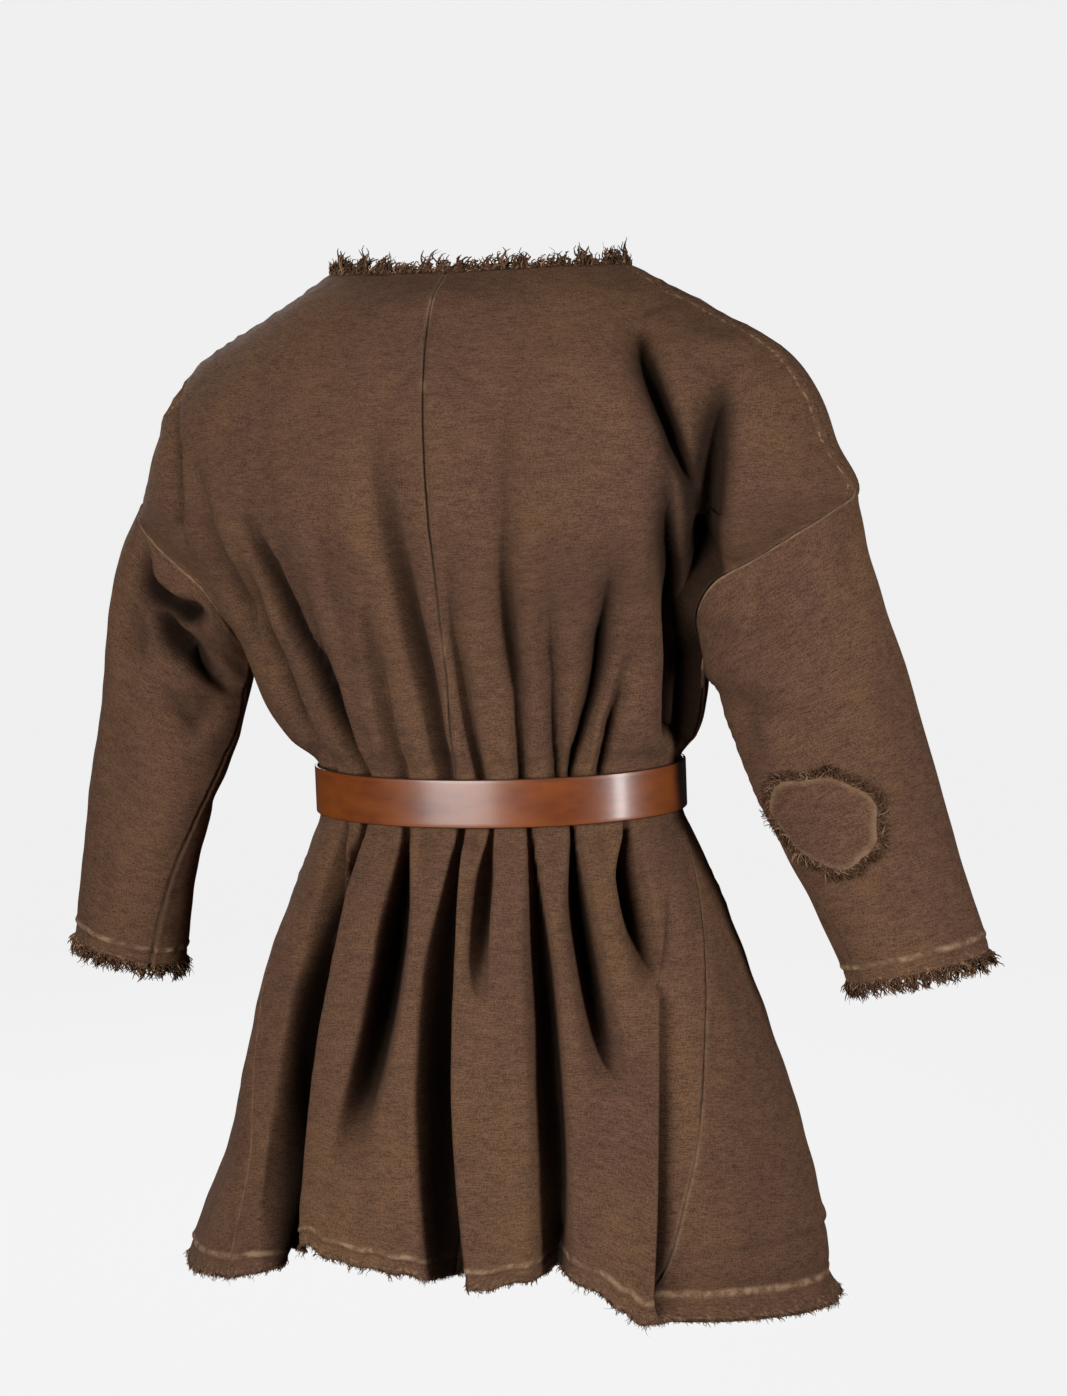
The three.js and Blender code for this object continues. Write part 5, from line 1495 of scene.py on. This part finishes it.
class BuckleBelt(bpy.types.Operator):
    """Make the belt's strap, keeper, buckle and prong."""

    bl_idname = "tunic.buckle_belt"
    bl_label = "Buckle the belt"

    def execute(self, context):
        belt = context.scene.tunic_belt
        width, thickness = belt.width * 1000, belt.thickness * 1000
        end, tip = GIRTH + BELT["tail"], BELT["tip"]
        first, lap = BUCKLE["bar"] + BUCKLE["wire"], GIRTH - BELT["lap"]
        run = np.concatenate([
            np.linspace(first, lap, 420)[:-1], np.linspace(lap, end - tip, 130)[:-1],
            end - tip + tip * np.sin(np.linspace(0, 1, 22) * np.pi / 2)])
        point = np.sqrt(np.clip(1 - ((run - end + tip) / (tip + 1)) ** 2, 0.05, 1))
        narrow = np.where(run > end - tip, point, 1.0)
        outline = rounded(width / 2, thickness)
        height = outline[None, :, 0] * narrow[:, None]
        lift = strap_lift(run, thickness)[:, None] + outline[None, :, 1]
        grid = beside_waist(run[:, None] + 0 * lift, lift, BELT_MIDDLE + height)
        rows, columns = grid.shape[:2]
        quads = grid_faces(rows, columns, True)
        ends = np.stack([np.arange(columns)[::-1], np.arange(columns) + (rows - 1) * columns])
        edge = smooth((np.abs(outline[:, 0]) - width / 2 + 1.6) / 1.2)[None] + 0 * run[:, None]
        # Where the punched holes stand, which the leather paints near-black as painted shade.
        hole = np.zeros_like(edge)
        for k in range(-1, 4):
            middle = GIRTH + BELT["hole"] + BELT["hole_step"] * k
            off = np.hypot((run[:, None] - middle) / 3.4, height / 2.6)
            hole = np.maximum(hole, 1 - smooth((off - 0.6) / 0.6))
        hole = hole * (outline[None, :, 1] > thickness * 0.9) * (run[:, None] > GIRTH - 30)
        around = np.concatenate([[0], np.cumsum(np.linalg.norm(np.diff(outline, axis=0), axis=1))])
        uv = np.stack(np.broadcast_arrays(run[:, None], around[None]), -1).reshape(-1, 2)
        piece = new_mesh("belt", grid, [quads, ends], uv, {"edge": edge, "hole": hole})
        self.face_out(piece)
        settle(piece, "belt_strap", "leather")

        self.make_keeper(width, thickness)
        self.make_buckle()
        return {"FINISHED"}

    def face_out(self, piece):
        """Turns a closed piece inside out where its volume comes out negative."""
        mesh = piece.data
        mesh.calc_loop_triangles()
        corner = np.empty(len(mesh.loop_triangles) * 3, np.int32)
        mesh.loop_triangles.foreach_get("vertices", corner)
        places = np.empty(len(mesh.vertices) * 3, np.float32)
        mesh.vertices.foreach_get("co", places)
        a, b, c = places.reshape(-1, 3)[corner.reshape(-1, 3)].astype(float).transpose(1, 0, 2)
        if np.sum(np.cross(a, b) * c) < 0:
            mesh.flip_normals()

    def make_keeper(self, width, thickness):
        """A loop round both layers of the strap: a rounded rectangle, with a rounded slab carried
        along it."""
        at, slack, wall = KEEPER["at"], KEEPER["slack"], KEEPER["thickness"]
        inner, outer = strap_lift(np.array([at, at + GIRTH]), thickness)
        low, high = inner - slack - wall / 2, outer + thickness + slack + wall / 2
        turn = np.linspace(0, 2 * np.pi, 97)[:-1]
        z, lift = rounded_loop(turn, width / 2 + slack + wall / 2, (high - low) / 2, 0.28)
        path = np.stack([z, (low + high) / 2 + lift], -1)
        way = unit(np.roll(path, -1, 0) - np.roll(path, 1, 0))
        side = np.stack([way[:, 1], -way[:, 0]], -1)
        slab = rounded(KEEPER["width"] / 2, wall, 0.5, 4)
        off = (slab[:, 1] - wall / 2)[None, :, None] * side[:, None]
        spots = path[:, None] + off
        run = at + slab[None, :, 0] + 0 * spots[..., 0]
        grid = beside_waist(run, spots[..., 1], BELT_MIDDLE + spots[..., 0])
        edge = smooth(np.abs(slab[:, 0]) - KEEPER["width"] / 2 + 1.2)[None] + 0 * run
        uv = np.broadcast_arrays(np.linspace(0, 110, len(grid))[:, None], slab[None, :, 0])
        uv = np.stack(uv, -1).reshape(-1, 2) + 900
        faces = loop_faces(*grid.shape[:2])
        piece = new_mesh("keeper", grid, faces, uv, {"edge": edge, "hole": 0 * edge})
        self.face_out(piece)
        settle(piece, "belt_keeper", "leather")

    def make_buckle(self):
        """The frame is a round wire carried along a rounded rectangle that leans over the strap's
        tail, and the prong a round wire that thins out along its own line."""
        radius = WAIST[0] ** 2 / WAIST[1]

        def in_front(x, lift):
            return -WAIST[1] + x * x / (2 * radius) - lift

        bar, far, wire = BUCKLE["bar"], BUCKLE["far"], BUCKLE["wire"]
        half = (bar - far) / 2
        turn = np.linspace(0, 2 * np.pi, 121)[:-1]
        x, z = rounded_loop(turn, half, (BUCKLE["inside"] + wire) / 2, 0.36)
        bar_y, far_y = in_front(bar, BUCKLE["bar_lift"]), in_front(far, BUCKLE["far_lift"])
        y = far_y + (bar_y - far_y) * ((x + half) / (2 * half))
        line = np.stack([x + (bar + far) / 2, y, z + BELT_MIDDLE], -1)
        piece = self.wire("buckle", line, np.full(len(line), wire / 2), True)
        settle(piece, "buckle_frame", "metal")
        knots = np.array([[x, in_front(x, lift), BELT_MIDDLE] for x, lift in PRONG])
        fine = rows_at(knots, np.linspace(0, len(knots) - 1, 48))
        thin = 1.5 * np.sqrt(np.clip(1.02 - np.linspace(0, 1, 48) ** 8, 0.1, 1))
        piece = self.wire("prong", fine, thin, False)
        settle(piece, "buckle_prong", "metal")

    def wire(self, name, line, radius, closed):
        """A round wire: circles of the given radii stood across a line."""
        run = np.roll(line, -1, 0) - np.roll(line, 1, 0) if closed else np.gradient(line, axis=0)
        run = unit(run)
        first = unit(np.cross(run, np.array([0.03, 1.0, 0.02])))
        second = np.cross(run, first)
        sides = np.arange(16)
        at = (sides * 2 * np.pi / 16)[None, :, None]
        ring = first[:, None] * np.cos(at) + second[:, None] * np.sin(at)
        grid = line[:, None] + ring * radius[:, None, None]
        if closed:
            faces = loop_faces(len(grid), 16)
        else:
            ends = np.stack([sides[::-1], sides + (len(grid) - 1) * 16])
            faces = [grid_faces(len(grid), 16, True), ends]
        piece = new_mesh(name, grid, faces)
        self.face_out(piece)
        return piece


class SetStage(bpy.types.Operator):
    """Set the floor, the backdrop, the lights and the camera."""

    bl_idname = "tunic.set_stage"
    bl_label = "Set the stage"

    def execute(self, context):
        settings = context.scene.tunic_stage
        low = CAD_BOX[0][2] - settings.drop
        self.make_ground(low * 1000, settings.ground_color)
        self.make_camera()
        key, side = settings.key_power, settings.side_power
        self.light("main light", (35, 6), 2.6, key, 1.5, 1.3)
        self.light("right light", (-52, 6), 2.6, side, 0.35, 1.6)
        self.light("front light", (165, 25), 2.6, key * 0.7, 1.6, 1.6)
        self.light("top light", (60, 80), 2.4, key * 0.1, 1.6, 1.6)
        world = bpy.data.worlds.new("pale room")
        context.scene.world = world
        world.use_nodes = True
        tree = world.node_tree
        background = tree.nodes["Background"]
        path = tree.nodes.new("ShaderNodeLightPath")
        dim, pale = (0.02, 0.02, 0.02, 1), (0.88, 0.88, 0.88, 1)
        seen = mix_color(tree, path.outputs["Is Camera Ray"], dim, pale)
        tree.links.new(seen, background.inputs["Color"])
        context.scene.view_settings.view_transform = "Standard"
        context.scene.view_settings.look = "None"
        return {"FINISHED"}

    def make_ground(self, low, color):
        """A floor that curves up into a backdrop far behind the front: straight, then a quarter
        circle, then straight up."""
        near, far, radius, reach = 4200, -3000, 1500, 5200
        turn = np.linspace(0, np.pi / 2, 24)
        bend = np.stack([far - radius * np.sin(turn), low + radius - radius * np.cos(turn)], -1)
        profile = np.vstack([[near, low], bend, [far - radius, low + reach]])
        x, y = np.meshgrid(np.linspace(-reach, reach, 9), profile[:, 0])
        z = profile[:, 1:] + 0 * x
        turned = math.radians(PHOTO["turn"] - 180)
        c, s = math.cos(turned), math.sin(turned)
        grid = np.stack([x * c - y * s, x * s + y * c, z], -1)
        quads = grid_faces(*x.shape)
        floor = new_mesh("floor", grid, quads[:, ::-1])
        floor.data.materials.append(floor_material(color))
        floor.visible_diffuse = False
        floor.visible_glossy = False

    def make_camera(self):
        """The camera stands at the photograph's angle: turned round the tunic, pitched down, then
        rolled."""
        turn, pitch, roll = (math.radians(PHOTO[k]) for k in ("turn", "pitch", "roll"))
        away = Vector((math.sin(turn), -math.cos(turn), 0))
        place = away * PHOTO["distance"] * 0.001 + Vector((0, 0, PHOTO["level"] * 0.001))
        ahead = -away * math.cos(pitch) + Vector((0, 0, -math.sin(pitch)))
        right = ahead.cross(Vector((0, 0, 1))).normalized()
        up = right.cross(ahead)
        turned = right * math.cos(roll) + up * math.sin(roll)
        up = -right * math.sin(roll) + up * math.cos(roll)
        data = bpy.data.cameras.new("photo camera")
        data.sensor_width = 36
        data.lens = 36 * PHOTO["focal"] / PHOTO["height"]
        data.shift_x = PHOTO["left"] / PHOTO["height"]
        data.clip_end = 50
        camera = bpy.data.objects.new("photo camera", data)
        basis = Matrix((turned, up, -ahead)).transposed().to_4x4()
        camera.matrix_world = Matrix.Translation(place) @ basis
        bpy.context.scene.collection.objects.link(camera)
        bpy.context.scene.camera = camera

    def light(self, name, direction, distance, power, width, height):
        """A soft rectangular light that faces the tunic's middle. Its direction is the angle left
        of the camera and the angle above the ground."""
        turn, rise = math.radians(PHOTO["turn"] - direction[0]), math.radians(direction[1])
        target = Vector((0, 0, -0.45))
        level = math.cos(rise)
        away = Vector((math.sin(turn) * level, -math.cos(turn) * level, math.sin(rise)))
        data = bpy.data.lights.new(name, "AREA")
        data.shape = "RECTANGLE"
        data.size, data.size_y, data.energy = width, height, power
        lamp = bpy.data.objects.new(name, data)
        lamp.location = target + away * distance
        lamp.rotation_euler = (-away).to_track_quat("-Z", "Y").to_euler()
        bpy.context.scene.collection.objects.link(lamp)


class TunicPanel(bpy.types.Panel):
    """The tunic's sizes and its operators, in the order in which a maker works."""

    bl_idname = "VIEW3D_PT_tunic"
    bl_label = "Belted tunic"
    bl_space_type = "VIEW_3D"
    bl_region_type = "UI"
    bl_category = "Tunic"

    def draw(self, context):
        scene = context.scene
        for settings in (scene.tunic_cloth, scene.tunic_belt, scene.tunic_stage):
            box = self.layout.box()
            for key in settings.__annotations__:
                box.prop(settings, key)
        for operator in OPERATORS:
            self.layout.operator(operator.bl_idname)


SETTINGS = (TunicCloth, TunicBelt, TunicStage)
OPERATORS = (SetStage, CutBack, CutFront, CutGores, CutSleeves, SewPatch, FrayEdges, BuckleBelt)


def register():
    """Registers the settings, the operators and the panel."""
    for item in (*SETTINGS, *OPERATORS, TunicPanel):
        bpy.utils.register_class(item)
    bpy.types.Scene.tunic_cloth = bpy.props.PointerProperty(type=TunicCloth)
    bpy.types.Scene.tunic_belt = bpy.props.PointerProperty(type=TunicBelt)
    bpy.types.Scene.tunic_stage = bpy.props.PointerProperty(type=TunicStage)


def unregister():
    """Takes them out again."""
    for key in ("tunic_cloth", "tunic_belt", "tunic_stage"):
        delattr(bpy.types.Scene, key)
    for item in (TunicPanel, *reversed(OPERATORS), *reversed(SETTINGS)):
        bpy.utils.unregister_class(item)


def main():
    """Makes the tunic and its stage."""
    register()
    bpy.ops.tunic.set_stage()
    bpy.ops.tunic.cut_back()
    bpy.ops.tunic.cut_front()
    bpy.ops.tunic.cut_gores()
    bpy.ops.tunic.cut_sleeves()
    bpy.ops.tunic.sew_patch()
    bpy.ops.tunic.fray_edges()
    bpy.ops.tunic.buckle_belt()


if __name__ == "__main__":
    main()
